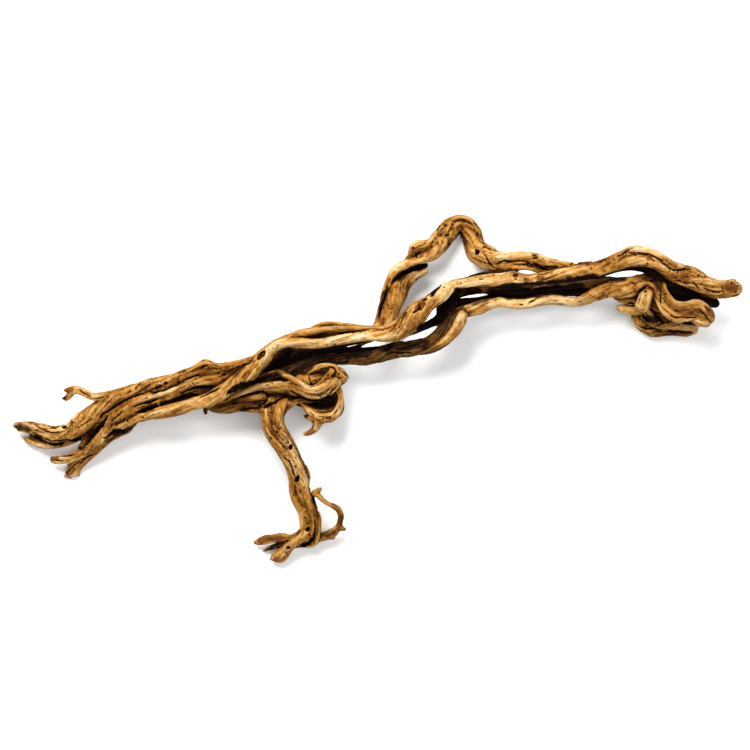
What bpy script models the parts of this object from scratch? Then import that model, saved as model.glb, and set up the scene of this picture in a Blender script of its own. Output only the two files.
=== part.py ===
"""A dried, twisted vine branch that lies on a surface, as one solid.

The branch is a bundle of stems that grew round each other and fused. Each stem, root and twig is a
route: points on its centre line, with its half thickness there. All routes are swept into tubes and
joined into one body, which is planed flat where it touches the surface that it lies on.
"""

import math

import bmesh
import bpy
from mathutils import Matrix, Vector

MM = 0.001

# The middle of the branch on the sheet, which becomes the origin.
SHEET_ORIGIN = (376.0, 388.5)

# Routes are drawn on a sheet: x runs to the right and y down, seen from above the lying branch.
# Each point is (x, y, height of the centre line above the surface, half thickness), in millimetres.
ROUTES = {
    # The long front stem, from the left fork to the right tip.
    "rail": [
        (120, 423, 38, 7), (135, 418, 42, 6), (150, 414, 46, 5.9), (165, 411.6, 50, 6.6),
        (180, 408, 53, 6.6), (195, 403.5, 56, 6.4), (210, 399, 58, 6.8), (222, 392.5, 60, 7.6),
        (235, 384, 62, 8.2), (248, 375, 64, 8.2), (257, 367, 66, 7.8), (264, 358, 67, 7),
        (270, 350.5, 67, 6), (278, 345, 66, 5.2), (288, 342.3, 65, 4.9), (300, 342.4, 64, 5),
        (312, 343.4, 64, 5.2), (325, 342.5, 63, 5.4), (340, 340.2, 62, 5.3), (355, 337.6, 61, 5.2),
        (370, 336, 60, 5.4), (385, 336.3, 60, 6.2), (397, 333, 60, 7.8), (408, 324.5, 61, 9.6),
        (417.2, 313.6, 62, 10.2), (425.2, 305.6, 62, 8.2), (433, 300.5, 62, 6.8), (441, 295, 62, 7),
        (448, 288.5, 61, 6.6), (457, 284.5, 60, 5.2), (468, 282.8, 59, 5), (482, 280.8, 58, 6),
        (500, 280.3, 57, 6.3), (515, 279.3, 56, 7), (530, 281, 55, 6.8), (545, 278.4, 55, 7.4),
        (562, 275.3, 55, 7.4), (582, 272.2, 55, 7), (600, 268.6, 56, 6.8), (615, 264.8, 57, 7),
        (630, 261, 58, 6.9), (645, 260.6, 58, 6.8), (656, 264, 57, 7.2), (666, 270, 55, 7.4),
        (676, 275.2, 53, 7.2), (687, 278.5, 51, 8.4), (699, 281.5, 49, 9.4), (714, 287.6, 47, 8.6),
        (727, 289.5, 46, 8.4), (735, 289.5, 45, 7.2),
    ],
    # Roots at the left end.
    "top_root": [
        (13.6, 425.6, 14, 3.4), (21, 426.4, 15, 5), (30, 427.4, 17, 6.4), (40, 430.6, 20, 7.2),
        (50, 433.8, 23, 7.8), (60, 433.3, 26, 8), (70, 430.2, 29, 8.8), (80, 424.3, 32, 10),
        (90, 417, 35, 9.8), (100, 409, 38, 9.4), (110, 402, 41, 9.6), (120, 397, 43, 8.6),
        (135, 392, 46, 8), (150, 386, 48, 7.2), (165, 381.5, 50, 6.4), (180, 377, 51, 5.4),
        (195, 372.5, 52, 5), (210, 369.5, 53, 4.8), (228, 367, 55, 4.8), (243, 363.5, 57, 4.6),
        (255, 359, 60, 4.2), (262.4, 352.6, 62, 3.6),
    ],
    "top_root_ridge": [
        (40, 427.5, 22, 3), (52, 429.5, 25, 3.4), (64, 428, 28, 3.6), (77, 423.4, 32, 4.2),
        (88, 414.8, 37, 4.4), (99, 406.2, 41, 4.2), (112, 397, 45, 5), (124, 393.5, 48, 4.6),
        (138, 388, 50, 4.6), (150, 383.8, 51, 4.4),
    ],
    "second_root": [
        (23, 438.8, 6, 1.6), (27, 440.6, 7, 3), (33, 441.6, 8, 4.3), (40, 443.8, 10, 5.3),
        (47, 445, 12, 4.8), (55, 444.8, 14, 4.2), (64, 443, 17, 3.8), (72, 440.2, 20, 3.6),
        (80, 435.5, 24, 4), (90, 428, 29, 4.6), (102, 419, 34, 4.4),
    ],
    "second_root_prong": [(28, 436.2, 8, 1.4), (31.6, 437, 9, 2.2), (37, 441, 10, 3)],
    "stub_root": [
        (77.8, 449, 20, 2), (80.2, 446, 22, 2.6), (84, 440, 25, 2.6), (88, 433, 28, 2.8),
        (94, 426, 32, 3.2), (101, 420.5, 36, 3.2), (108, 415.5, 40, 2.8),
    ],
    "twig": [
        (64.6, 398.4, 49, 2), (67.6, 397.6, 50, 2.7), (69.8, 394.4, 51, 3), (72.6, 390.6, 51, 4),
        (78, 389.8, 51, 4.2), (85, 393, 49, 4.1), (92, 396.4, 47, 4.2), (100, 396.6, 45, 4.2),
        (110, 396, 43, 4.5),
    ],
    "twig_prong": [(66.2, 390.2, 53, 1.4), (69.5, 389.2, 52, 2.2), (75, 389.4, 51, 3)],
    "fork": [
        (67.5, 476, 3.2, 2.6), (69.5, 471.5, 3.4, 4.7), (72, 466, 4.8, 5.4), (77, 459.5, 10, 6),
        (85, 452.5, 16, 6.4), (93, 445, 22, 7), (101, 436.5, 30, 7.4), (110, 428.3, 35, 7.2),
        (119, 420.5, 39, 6.6), (130, 414, 42, 5.6), (144, 411, 44, 4.4),
    ],
    "fork_prong": [
        (51, 460, 13, 3.2), (54.4, 459.6, 14, 3.6), (60, 459.8, 15, 3.9), (67, 459.2, 15, 4.4),
        (74, 457.2, 16, 4.2), (82, 453.5, 18, 4.6),
    ],
    "fork_prong_ridge": [
        (58, 456.6, 17, 1), (66, 456.2, 18, 1.5), (74, 453.8, 19, 2), (82, 450.5, 22, 2.5),
    ],
    "fork_heel": [
        (64.6, 475.6, 2.6, 2.4), (72, 473.4, 3.4, 4.6), (77.5, 466.6, 7, 3.9), (85, 460, 12, 3.6),
        (93, 453.2, 18, 3.4), (102, 445.4, 23, 3.3), (111, 438.2, 27, 3), (119, 433.6, 30, 3),
    ],
    "flange": [
        (97, 447.8, 18, 2), (106, 441.8, 20, 2.2), (115, 436.8, 23, 2.1), (123, 433.4, 26, 2.1),
        (128.6, 430, 29, 2.4), (131.4, 425, 33, 2.6), (137, 420.2, 38, 3),
    ],
    # Stems along the trunk, between the roots and the front stem.
    "trunk_core": [
        (96, 424, 30, 8), (112, 413, 33, 12), (135, 404, 34, 13), (165, 397, 34, 14),
        (195, 391, 34, 14), (222, 389, 34, 14), (245, 385, 34, 14), (265, 379, 33, 12),
    ],
    "second_stem": [
        (101, 420, 42, 2), (108, 415.5, 44, 3.4), (118, 410, 46, 4.6), (129, 404.4, 48, 5),
        (140, 399.3, 50, 4.8), (151, 395.7, 52, 4.6), (162, 393, 53, 4.6), (172, 390.6, 54, 4.6),
        (183, 386, 54, 4.6), (193, 381.8, 54, 4.8), (205, 379.6, 54, 5.4), (218, 379.4, 54, 6),
        (230, 376.4, 56, 5.6), (241, 371.4, 58, 5), (250, 366, 60, 4.6), (258, 359.5, 62, 4),
    ],
    "bright_stem": [
        (150, 389.5, 50, 2.6), (165, 385.6, 52, 3), (180, 379.4, 54, 3), (191, 375, 56, 2.8),
        (203, 372.4, 56, 2.6), (218, 371.4, 56, 2.8), (232, 369.6, 57, 3), (246, 366, 59, 3),
    ],
    "third_stem": [
        (104, 424, 38, 4), (113, 418.4, 42, 5), (124, 413, 46, 4.8), (135, 409.4, 48, 3.8),
        (146, 406, 49, 3.6), (156, 402.4, 50, 3.6), (165, 398.2, 51, 3.6), (175, 394, 51, 3.4),
        (185, 391, 50, 3), (195, 388.4, 48, 3), (208, 388.6, 46, 3.4), (222, 388, 45, 4),
    ],
    "recess_stem": [
        (160, 404.5, 42, 3.6), (172, 401, 41, 3.6), (184, 398.5, 40, 3.6), (196, 395, 41, 4),
        (206, 392, 43, 3.6), (218, 390, 44, 4),
    ],
    "crest": [
        (176, 375.4, 52, 2.6), (187, 371.4, 53, 3.2), (197, 367.2, 54, 3.4), (206, 363, 55, 3.9),
        (216, 365.8, 56, 3.2), (230, 366, 57, 3.2), (243, 363.2, 58, 3.2), (254, 359, 60, 3.2),
        (261, 353.4, 61, 3.2), (268, 347.2, 62, 3.2), (277, 341.7, 62, 3), (286, 337.8, 61, 2.6),
    ],
    # Two thin stems over the front stem, in the middle.
    "upper_stem": [
        (283, 340.5, 64, 3), (294, 335.3, 62, 3.6), (307, 332.3, 60, 4.2), (321, 330, 58, 4),
        (336, 328.8, 57, 3.4), (352, 328.6, 57, 2.9), (368, 329.2, 57, 2.4), (382, 329.8, 58, 2.6),
        (392, 326.6, 60, 3), (401, 320, 61, 3.6), (408, 312.8, 62, 3.8), (415, 306.8, 62, 4),
        (423.6, 302.2, 61, 3.2),
    ],
    "upper_stem_back": [
        (300, 333.8, 53, 2.6), (311, 330, 53, 2.8), (321, 325.4, 52, 3.3), (333, 324, 52, 3),
        (347, 325.6, 52, 2.8), (361, 327.4, 53, 2.6), (374, 328, 54, 2.4), (386, 327.5, 56, 2.6),
        (396, 321.6, 58, 2.6), (404, 313.6, 60, 2.6),
    ],
    "rail_backing": [
        (423, 304.4, 51, 4.4), (432, 297.4, 50, 4.4), (441, 290, 49, 4.2), (450, 285, 49, 3.8),
        (460, 281.8, 51, 3.5), (472, 279.8, 53, 3.6),
    ],
    # The arch, which props the branch on the surface at its top.
    "arch_foot": [
        (374, 334, 36, 7), (385, 325, 33, 8.6), (390, 312, 29, 9.8), (393.6, 300, 26, 10.6),
        (398, 289, 24, 10.4), (404, 281, 23, 8.6), (412, 276.4, 23, 6.2), (419.6, 272.8, 24, 5),
        (425.6, 271.2, 25, 3),
    ],
    "arch_left": [
        (376.8, 326, 34, 3.4), (380.8, 308, 30, 3.2), (384.6, 292, 28, 3.7), (389.4, 281, 27, 4.6),
        (396, 271, 27, 5.4), (405, 264.6, 27, 5), (415, 261.2, 27, 4), (426, 257, 26, 5.4),
        (435, 250.6, 24, 7.4), (441, 242, 21, 9),
    ],
    "arch_knuckle": [
        (410.4, 255.5, 25, 3.2), (412.8, 249.8, 26, 4.4), (417, 245.8, 26, 6),
        (425, 245.4, 25, 5.9), (432, 242.4, 24, 5.2), (438, 235.5, 21, 5), (444, 228.5, 18, 5),
    ],
    "arch_top": [
        (431, 254, 24, 5.6), (437, 247, 22, 8.6), (442, 239.2, 18, 10.2), (448.6, 230.4, 13, 10.6),
        (457, 224.5, 8.6, 9.4), (465, 225, 7.9, 9.2), (470.8, 232, 11.4, 10.1),
        (473.8, 240.4, 16, 10.1), (477.4, 249.8, 22, 11.4), (487, 257.5, 28, 11),
        (497, 261.2, 33, 10),
    ],
    "arch_ridge": [
        (438.8, 235, 22, 3.6), (446, 225.8, 18, 3.6), (453.4, 219.6, 14, 3.6),
        (461, 217.2, 11, 3.7), (468.8, 220, 11, 4.1), (473.8, 227.4, 14, 3.5),
        (476.4, 236.4, 19, 3.4), (482, 245.4, 25, 4), (492.6, 251.2, 32, 4.8),
    ],
    "arch_end": [
        (484, 252, 30, 6.4), (496, 256.5, 37, 6), (508, 257, 41, 5.6), (521, 256.8, 43, 5.4),
        (533, 257.8, 44, 5.8), (546, 261.2, 46, 4.9), (559, 264, 48, 4.1), (573, 265.6, 51, 3.4),
        (590, 264.4, 53, 3.4),
    ],
    "arch_end_low": [
        (478.6, 255.4, 26, 5.8), (488, 262.6, 32, 5.7), (499, 265.6, 37, 5), (512, 266, 40, 4.6),
        (524, 266.2, 42, 4), (534, 269, 43, 3.2), (543, 272.6, 46, 2.6), (552, 274, 50, 3),
    ],
    # Dark stems inside and behind the middle of the trunk.
    "dark_bundle": [
        (248, 384, 33, 10), (264, 377, 33, 10), (280, 367, 32, 10.4), (296, 359, 31, 10),
        (314, 354.5, 30, 8.8), (335, 353.4, 31, 6.4), (354, 352.4, 32, 5.2), (368, 352, 33, 4.8),
        (382, 350.2, 34, 5), (402, 346.4, 37, 5.4),
    ],
    "brown_stem": [
        (266, 379, 42, 4), (278, 374, 45, 5), (291, 369.6, 46, 5.2), (304, 365.8, 46, 4.4),
        (317, 363, 44, 3.6), (332, 360.6, 43, 3.6),
    ],
    "grey_stem": [
        (248, 388.5, 44, 3.6), (258, 382, 47, 4), (267, 377, 49, 4.2), (276, 373.6, 50, 3.8),
        (285, 374.6, 53, 3), (291, 379, 56, 3),
    ],
    "cross_stem": [
        (326, 345.4, 42, 2.4), (336, 347, 41, 2.6), (347, 349.4, 40, 2.6), (357, 347, 41, 2.6),
        (364, 343, 44, 2.2), (373, 339.4, 50, 2.4),
    ],
    "low_rail": [
        (296, 366.5, 38, 6), (311, 363.4, 39, 6.4), (329, 359.8, 40, 6.2), (346, 358, 40, 6.5),
        (364, 358, 41, 6.8), (378, 355.6, 41, 7), (391, 351, 42, 7.8), (404, 349, 43, 8.1),
        (417, 347.8, 44, 7.9), (429.6, 344.8, 45, 8.8), (440.6, 338.6, 47, 9.7),
        (449.6, 329.8, 49, 9.6), (457, 319.5, 50, 8.4), (463, 312.6, 49, 5.6),
    ],
    "low_rail_lip": [
        (422, 352, 46, 2), (434, 347.2, 52, 2.4), (441, 343.4, 55, 3.4), (448.5, 337.4, 57, 4.6),
        (455.5, 329.6, 58, 5.4), (460.2, 321, 58, 5.6), (463, 315.4, 56, 4.2),
    ],
    "lower_stem": [
        (452, 314, 45, 4.6), (464, 311, 46, 6.6), (477, 308, 46, 6.8), (489, 304.2, 46, 5.8),
        (500, 302.2, 46, 5.2), (512, 304, 46, 5.3), (526, 304.2, 46, 5.2), (540, 300.6, 46, 5.6),
        (555, 299.8, 46, 5.4), (570, 301.6, 46, 5), (583, 299.6, 46, 5.6), (595, 294.2, 46, 7),
        (608, 289.8, 46, 7.8), (622, 288.4, 46, 9), (634, 286.4, 45, 9.8), (646, 284, 44, 9.6),
        (656, 282, 43, 7.6),
    ],
    "web": [
        (458, 288, 48, 4.6), (452, 297, 44, 7.4), (446, 308.4, 41, 9.8), (442, 317.4, 39, 6.8),
        (433, 322.2, 38, 4.2), (421.6, 327.6, 38, 3.4), (410.6, 331.8, 41, 3.6), (398, 336, 46, 4),
    ],
    "web_fold": [(444, 298, 50, 4), (445, 308, 47, 4), (452, 318, 46, 4.6), (459, 322, 47, 4.6)],
    "mid_stem": [
        (449, 296, 46, 5), (463, 292, 45, 5), (475, 290.2, 45, 4.2), (489, 290, 46, 3.2),
        (503, 291.6, 46, 2.8), (520, 291, 45, 2.8), (538, 288.8, 44, 3), (555, 287, 44, 3.2),
        (571, 285.6, 44, 3.4), (586, 284, 44, 3.6), (602, 282.4, 44, 3.6), (620, 280.4, 44, 3.8),
        (636, 280, 45, 4), (648, 277.6, 46, 4.4), (660, 278, 48, 4.4),
    ],
    "mid_stem_low": [
        (451, 305, 40, 5.6), (465, 301.2, 38, 4), (479, 300, 36, 3.4), (492, 297, 35, 3.4),
        (506, 295.2, 35, 3.8), (522, 296.2, 35, 3.8), (537, 293.2, 35, 3.4), (551, 291.8, 35, 3.4),
        (565, 293.6, 35, 3.2), (579, 293.2, 35, 3.2), (592, 288.8, 37, 3.6), (606, 285, 39, 4),
    ],
    "back_stem": [
        (420, 306, 46, 5), (440, 298, 38, 6), (456, 291.4, 33, 5.6), (474, 286.8, 30, 5),
        (490, 288, 28, 6), (508, 290.6, 27, 7.4), (530, 290, 26, 8), (558, 287, 26, 8.6),
        (584, 283.4, 27, 8), (604, 282, 29, 6.4), (622, 283, 31, 6.6), (642, 286, 34, 9),
    ],
    # The knot in the middle, with its two folds, the hollow ring below and the hook.
    "lip": [
        (218, 401.5, 54, 3), (234, 396.4, 54, 3), (248, 390.6, 54, 3.2), (260, 386.2, 54, 3.4),
        (272, 385.2, 55, 3.8), (284, 384.8, 57, 4.4), (294, 387.6, 58, 4.6), (303, 392.4, 58, 4.6),
        (312, 395.6, 57, 3.4), (322, 395, 57, 3.8), (331, 389.4, 57, 4.8), (337, 383, 56, 4.6),
    ],
    "inner_fold": [
        (284.5, 375.5, 58, 2.6), (293, 378.8, 60, 3), (302, 384.6, 61, 3.6), (310, 389.4, 61, 4.2),
        (319, 389, 61, 4.6), (327, 385, 60, 4.8), (335, 380.6, 59, 3.6),
    ],
    "fold_arm": [
        (315, 389, 61, 3), (321, 383, 60, 3.2), (327, 376.6, 59, 3), (332.5, 370, 58, 2.6),
        (335.5, 366.5, 56, 2.2),
    ],
    "knot": [
        (288, 376.6, 40, 6), (300, 374.6, 43, 6.6), (314, 372, 46, 7.6), (326, 371.6, 48, 8.2),
        (336, 374, 48, 8.6), (340.5, 377, 47, 7),
    ],
    "knot_point": [(334, 372, 47, 6), (340.6, 375.4, 47, 5.8), (345.8, 376.8, 46, 3)],
    "knot_low": [(324, 382, 48, 7), (333, 384.5, 48, 5), (340.6, 380.4, 47, 5)],
    "knot_loop": [
        (309, 374.6, 52, 2.2), (314.5, 369.6, 54, 2.8), (322, 366.2, 56, 2.8),
        (329.5, 365.6, 57, 2.4), (335, 367.4, 57, 2.2), (337.4, 371.6, 56, 2),
    ],
    "knot_core": [
        (280, 386, 44, 6), (296, 392, 42, 7), (312, 396, 40, 7), (326, 398, 37, 8),
        (331, 404, 33, 8.4), (327, 411, 32, 6.6),
    ],
    "ring": [
        (301.8, 404.3, 46, 1.6), (306.5, 408.6, 46, 3), (312.5, 413.6, 47, 4.4), (320, 417, 47, 5),
        (328.5, 416.6, 47, 4.8), (335.4, 413.4, 47, 4.7), (339.8, 406, 47, 3.8),
        (341, 397.6, 47, 2.8), (339, 391, 48, 3.2), (336, 386.4, 50, 3),
    ],
    "ring_back": [
        (318, 412, 38, 6), (328, 412.5, 38, 7), (336.5, 410, 38, 6.6), (337.5, 400, 37, 6),
        (335, 391, 40, 5),
    ],
    "ring_chip": [(316.5, 400, 45, 1.8), (319, 403.5, 44, 1.6), (317.5, 406, 43, 1)],
    "hook": [
        (319.6, 418, 45, 5), (317, 424.6, 44, 4.5), (314.4, 429.4, 43, 3.6),
        (309.6, 432.6, 42, 2.9), (304.8, 434.2, 41, 2.3),
    ],
    "thorn": [(304, 415.4, 43, 1.2), (308, 417.2, 44, 2.6), (313.4, 419, 44, 3.4)],
    # Worn wood below the trunk, where the leg leaves it.
    "belly": [
        (206, 404.5, 36, 3), (214, 405.2, 36, 6.8), (226, 405.4, 37, 8.6), (240, 402.4, 37, 8.6),
        (254, 401, 37, 9.2), (268, 400.6, 38, 9.6), (280, 399.6, 40, 9), (292, 396, 41, 7),
    ],
    "belly_plate": [
        (234, 399.6, 44, 2.6), (246, 397.6, 46, 4), (257, 396.4, 47, 4.6), (266, 395.6, 46, 3.6),
    ],
    "belly_stem": [
        (238, 409.4, 40, 2.4), (248, 409.8, 42, 2.6), (259, 410.4, 44, 2.6), (270, 411.6, 46, 2.8),
        (280, 409, 48, 3.4), (288, 403, 49, 3.4),
    ],
    "peg": [(205.4, 413.2, 34, 1.9), (205, 410.2, 34, 2.4), (205.6, 405, 36, 3)],
    # The leg, from the trunk down to its foot.
    "leg": [
        (284, 397, 44, 8), (277, 404, 45, 9.6), (273, 412, 46, 11), (272.6, 421, 47, 11),
        (275, 430.5, 47, 10.8), (280, 440, 46, 10.6), (286.6, 450, 44, 10), (292.6, 460, 42, 9.4),
        (297.6, 470, 39, 9.4), (299.8, 480, 36, 9.8), (299.8, 490, 34, 9.8), (301.6, 500, 31, 9.2),
        (306, 510, 28, 8.8), (309, 520, 25, 8.8), (308.6, 530, 22, 8.4), (303, 537.6, 20, 6),
    ],
    "leg_left": [
        (263.5, 411, 48, 3.6), (264.5, 422, 50, 3.8), (268, 432, 51, 4), (274, 441.6, 51, 3.9),
        (281.2, 452, 49, 4), (287, 461.6, 46, 3.9), (291, 472.6, 43, 3.8), (293, 484, 40, 3.8),
        (293.6, 496, 38, 3.6), (299, 507, 35, 3.4), (302.6, 518, 32, 3), (302.6, 528, 29, 3),
    ],
    "leg_front": [
        (278, 414, 54, 4.6), (277.5, 424, 55, 5), (281, 434, 55, 5.2), (287, 444, 53, 5.2),
        (292.5, 454, 50, 4.8), (297, 464, 47, 4.4), (300, 474, 44, 4), (303.5, 484, 42, 4.6),
        (305, 494, 39, 4.6), (309, 504, 36, 4.2), (312.6, 514, 33, 3.8), (313.6, 524, 30, 3.4),
        (311, 533, 27, 3.2),
    ],
    "leg_right": [
        (290, 404.6, 46, 3.2), (284.6, 410, 47, 3), (281, 419, 47, 2.6), (281.4, 429, 47, 2.6),
        (284.6, 439, 46, 2.8), (290, 448.6, 44, 3), (297.4, 459.6, 42, 3.2), (305.2, 472, 38, 3.8),
        (305.8, 486, 35, 3.6), (308, 498, 32, 3.6), (314.2, 509, 29, 3.4),
    ],
    "leg_arm": [
        (283, 407.6, 46, 5), (291, 403.2, 47, 3.8), (300, 400.8, 47, 2.6), (309, 401.4, 47, 2),
        (317, 401.8, 46, 1.8),
    ],
    "toe_front": [
        (309, 529, 26, 5.6), (303, 536.4, 24, 5.6), (295.4, 541.8, 21, 5.4), (288.2, 548, 17, 5.7),
        (282.4, 554, 13, 5.9), (276, 558.2, 9.6, 5.2), (272, 559.6, 8, 2.6),
    ],
    "toe_front_edge": [(285, 553, 12, 4.6), (281.4, 559, 9, 4.7), (278.4, 561, 7, 3.1)],
    "toe_back": [
        (301, 534.4, 18, 4.8), (291, 538.6, 16, 3.6), (281, 538.4, 14, 4.2), (271, 539.6, 12, 4),
        (264, 541.2, 11, 4.1), (258, 542.8, 9, 3.1), (255.2, 543, 8, 2.2),
    ],
    "toe_back_ridge": [
        (283, 536.6, 16, 2.4), (274, 537.6, 15, 2.6), (265, 538, 13, 2.2), (259.6, 539.4, 11, 1.4),
    ],
    "toe_point": [
        (291, 544, 12, 3.4), (283, 544.6, 10, 3.3), (275.6, 546.8, 8, 3), (269, 549.6, 6, 2.2),
        (263, 552.4, 4, 1.3),
    ],
    "heel": [
        (317, 514.4, 28, 3), (318, 521, 27, 3.4), (317.4, 530, 23, 3.8), (315.4, 538.4, 18, 4.4),
        (312.4, 543.4, 14, 4.8), (305, 544.6, 11, 4), (297, 545.4, 10, 3.6), (291, 546.6, 12, 3.4),
    ],
    "loop_root": [
        (311, 538, 15, 5), (319, 538.2, 14, 4.4), (327, 536.8, 13, 4.8), (333.4, 533.4, 14, 4.9),
        (337.6, 528.6, 17, 3.9), (340, 523, 21, 2.8), (341.4, 517, 25, 2.9),
        (339.6, 510.4, 29, 2.9), (335.2, 507, 32, 2.8), (329, 504.2, 35, 2.5),
        (323, 500.2, 37, 2.6), (318.6, 495.6, 38, 2.8), (315, 493.4, 38, 2.9), (312, 497, 36, 2.4),
        (313.4, 502.6, 33, 2.4), (315.8, 508.4, 30, 1.6),
    ],
    "loop_tip": [(314.4, 493, 38, 2.8), (318.4, 490.2, 39, 2.4), (320.4, 489.4, 40, 2)],
    "loop_spur": [(339.6, 526, 19, 2.4), (342, 529, 19, 2.4), (344, 530, 19, 1.8)],
    "loop_bump": [(330.6, 535, 13, 3.8), (332.8, 538.2, 12, 2.2)],
    "loop_ridge": [
        (333, 506.2, 33, 1.8), (337.4, 511, 30, 1.8), (339.4, 517, 27, 1.8), (338.8, 522.6, 23, 2),
    ],
    # The right end: the tip of the front stem and the clump below it.
    "top_right_stem": [
        (592, 265.2, 56, 2.6), (606, 261, 58, 3.2), (619.6, 254.8, 59, 3.8), (632, 250.4, 60, 4.4),
        (645, 251, 60, 4.6), (655, 254.8, 59, 5), (664, 260, 57, 4.8), (672, 265, 56, 4.2),
        (680.4, 266.8, 55, 3.5), (686, 268.4, 54, 2.8),
    ],
    "tip_upper": [
        (680, 269, 50, 4), (691, 271.4, 51, 5.3), (699.6, 275.6, 51, 5.4), (708, 281.6, 50, 4.2),
        (718, 285, 49, 4.2), (728, 284.6, 48, 4), (732.8, 283, 47, 4.3),
    ],
    "tip_lower": [
        (688, 283, 44, 4), (697, 288, 43, 4), (706, 292.8, 43, 3.8), (716, 294.4, 43, 4),
        (726, 294.2, 43, 4), (734, 292.6, 43, 3.6),
    ],
    "tip_end": [(730, 287, 46, 6.6), (735.6, 288.4, 45, 5.2), (738.2, 289.2, 44, 3.6)],
    "cavity_back": [
        (656, 288, 36, 8), (670, 291, 31, 9.6), (686, 292, 30, 10), (701, 294, 32, 8),
        (709.6, 299.6, 34, 6.6), (714.8, 302.4, 35, 5.6),
    ],
    "clump_stem": [
        (632, 281.6, 49, 4.4), (643, 284.6, 53, 4), (652, 289.4, 55, 4.4), (658.6, 298, 56, 4.8),
        (664, 307.6, 56, 5.4), (672, 315.4, 55, 5.4), (682, 318, 54, 4.4), (692, 316.6, 53, 4.6),
        (701, 320.8, 51, 5.8), (706.6, 323.8, 49, 4.2),
    ],
    "clump_ridge": [
        (663, 283.6, 50, 2.6), (663.6, 291, 54, 3.6), (667.6, 299.4, 56, 4.6),
        (675, 305.6, 56, 4.8), (686, 306.6, 55, 4.6), (696, 304.6, 53, 5), (703.6, 308.6, 51, 5.4),
        (709, 315.2, 48, 5.5), (711.2, 318.6, 46, 4),
    ],
    "clump_middle": [
        (672, 311.6, 54, 4), (684, 312, 54, 4.2), (695, 311.6, 52, 4.6), (703, 316, 49, 5),
        (708, 320, 46, 4),
    ],
    "clump_groin": [
        (657, 279, 46, 4.4), (658.6, 287, 50, 4), (661, 296, 52, 4), (664, 303, 52, 3.6),
    ],
    "clump_body": [
        (648, 290, 40, 9), (657, 300, 38, 9.6), (668, 308, 36, 9), (682, 311, 36, 8),
        (697, 312, 37, 8),
    ],
    "knob": [
        (648.4, 291.6, 55, 3.6), (646.4, 295.4, 60, 6), (643.6, 300.6, 62, 7), (642, 305.2, 61, 7),
    ],
    "knob_hood": [
        (634.6, 289.4, 53, 2.6), (640, 286, 57, 3), (647.6, 284.8, 58, 2.8), (653.6, 289, 58, 2.8),
        (656.4, 295, 56, 3),
    ],
    "clump_stub": [
        (619.4, 307.4, 35, 2.6), (623.2, 309, 35, 4.8), (629.4, 309.8, 35, 5.4),
        (638, 309.6, 36, 5.4), (648, 307, 37, 6),
    ],
    "clump_low_rim": [
        (615.6, 297.4, 41, 2.2), (622, 299.6, 39, 3.4), (630, 300.6, 39, 4.2),
        (638, 299.6, 40, 5.2), (647, 297, 40, 6),
    ],
    "clump_base": [
        (640, 308, 30, 8), (640.4, 318, 22, 8.4), (648, 325, 13, 9.2), (660, 327.4, 7.8, 8.8),
        (673, 327.6, 6.8, 8), (686, 328.4, 7.6, 7.6), (694, 328, 10, 6.2),
    ],
    "clump_base_ridge": [
        (636.4, 317, 26, 4.6), (641.2, 324.8, 20, 4.4), (650, 331, 14, 4.2), (658, 333, 11, 3.6),
        (670, 331.4, 12, 3.6), (684, 332.4, 12, 3.4), (693, 331, 12, 3),
    ],
    "clump_base_top": [
        (644, 316, 34, 4), (652, 321.6, 30, 4.2), (662, 324.6, 26, 4), (674, 325.6, 23, 4),
        (687, 326, 21, 4), (696.6, 326.8, 19, 3.5),
    ],
    "clump_link": [(646, 311, 44, 3.4), (652, 316, 42, 3.4), (657, 321, 38, 3.4)],
    "clump_pillar": [(664, 306, 34, 8), (664, 315, 26, 8.4), (666, 323, 17, 8)],
    # Wood that closes the slits between neighbouring stems.
    "flange_back": [
        (104, 439, 24, 4), (114, 433.6, 28, 4.4), (124, 428.6, 32, 4.2), (132, 423, 36, 3.6),
    ],
    "upper_backing": [
        (290, 341, 55, 4), (304, 338.4, 54, 4.8), (320, 335.8, 53, 5), (338, 333.4, 52, 4.8),
        (356, 332.4, 52, 4.2), (374, 332, 53, 4),
    ],
    "rail_under": [
        (332, 345.4, 52, 2.6), (344, 344.2, 50, 3), (354, 342.6, 50, 3), (364, 340, 52, 2.6),
    ],
    "ring_floor": [(298, 402, 40, 4), (308, 404, 38, 5.4), (318, 406, 36, 7), (330, 405, 35, 7)],
    "arch_floor": [
        (398, 273, 18, 6), (408, 268.6, 17, 6.4), (418, 266, 17, 5.6), (425, 264.6, 18, 3.4),
    ],
    "arch_knuckle_floor": [(408, 260, 22, 4), (417, 254.6, 21, 5), (427, 251, 20, 6)],
    "arch_web": [
        (470, 278.4, 46, 3), (482, 275.4, 44, 3), (494, 273, 42, 2.6), (506, 272.8, 42, 2.6),
        (516, 272, 44, 2.4),
    ],
    "arch_fill": [
        (526, 262, 42, 3.4), (540, 266.2, 44, 3.4), (552, 268.4, 48, 3), (566, 269.6, 51, 3),
    ],
    "rail_under_right": [
        (592, 275, 50, 3), (604, 273.4, 50, 3), (616, 269.8, 50, 3), (628, 267.6, 51, 3.4),
        (641, 268, 51, 4), (651, 272, 50, 4.6), (661, 276, 49, 4.8), (673, 281, 48, 4.4),
    ],
    "clump_core": [(646, 304, 35, 7), (653, 312.4, 31, 7), (662, 318, 26, 7)],
    "clump_right_fill": [(680, 318.6, 36, 5), (691, 320.6, 34, 5), (699, 322.8, 37, 4.6)],
    # Stems on the underside, which keep the bundle's form as seen from below.
    "under_left": [
        (92, 430, 26, 6), (112, 420, 24, 7), (136, 411, 22, 7), (162, 403, 21, 6.6),
        (190, 396, 20, 7), (218, 392, 21, 7), (246, 390, 24, 7.4), (272, 388, 27, 7.6),
        (296, 384, 30, 7), (318, 378, 32, 7.4),
    ],
    "under_middle": [
        (104, 410, 28, 6.4), (128, 400, 25, 7), (154, 392.6, 23, 6.6), (182, 385, 23, 7),
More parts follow.
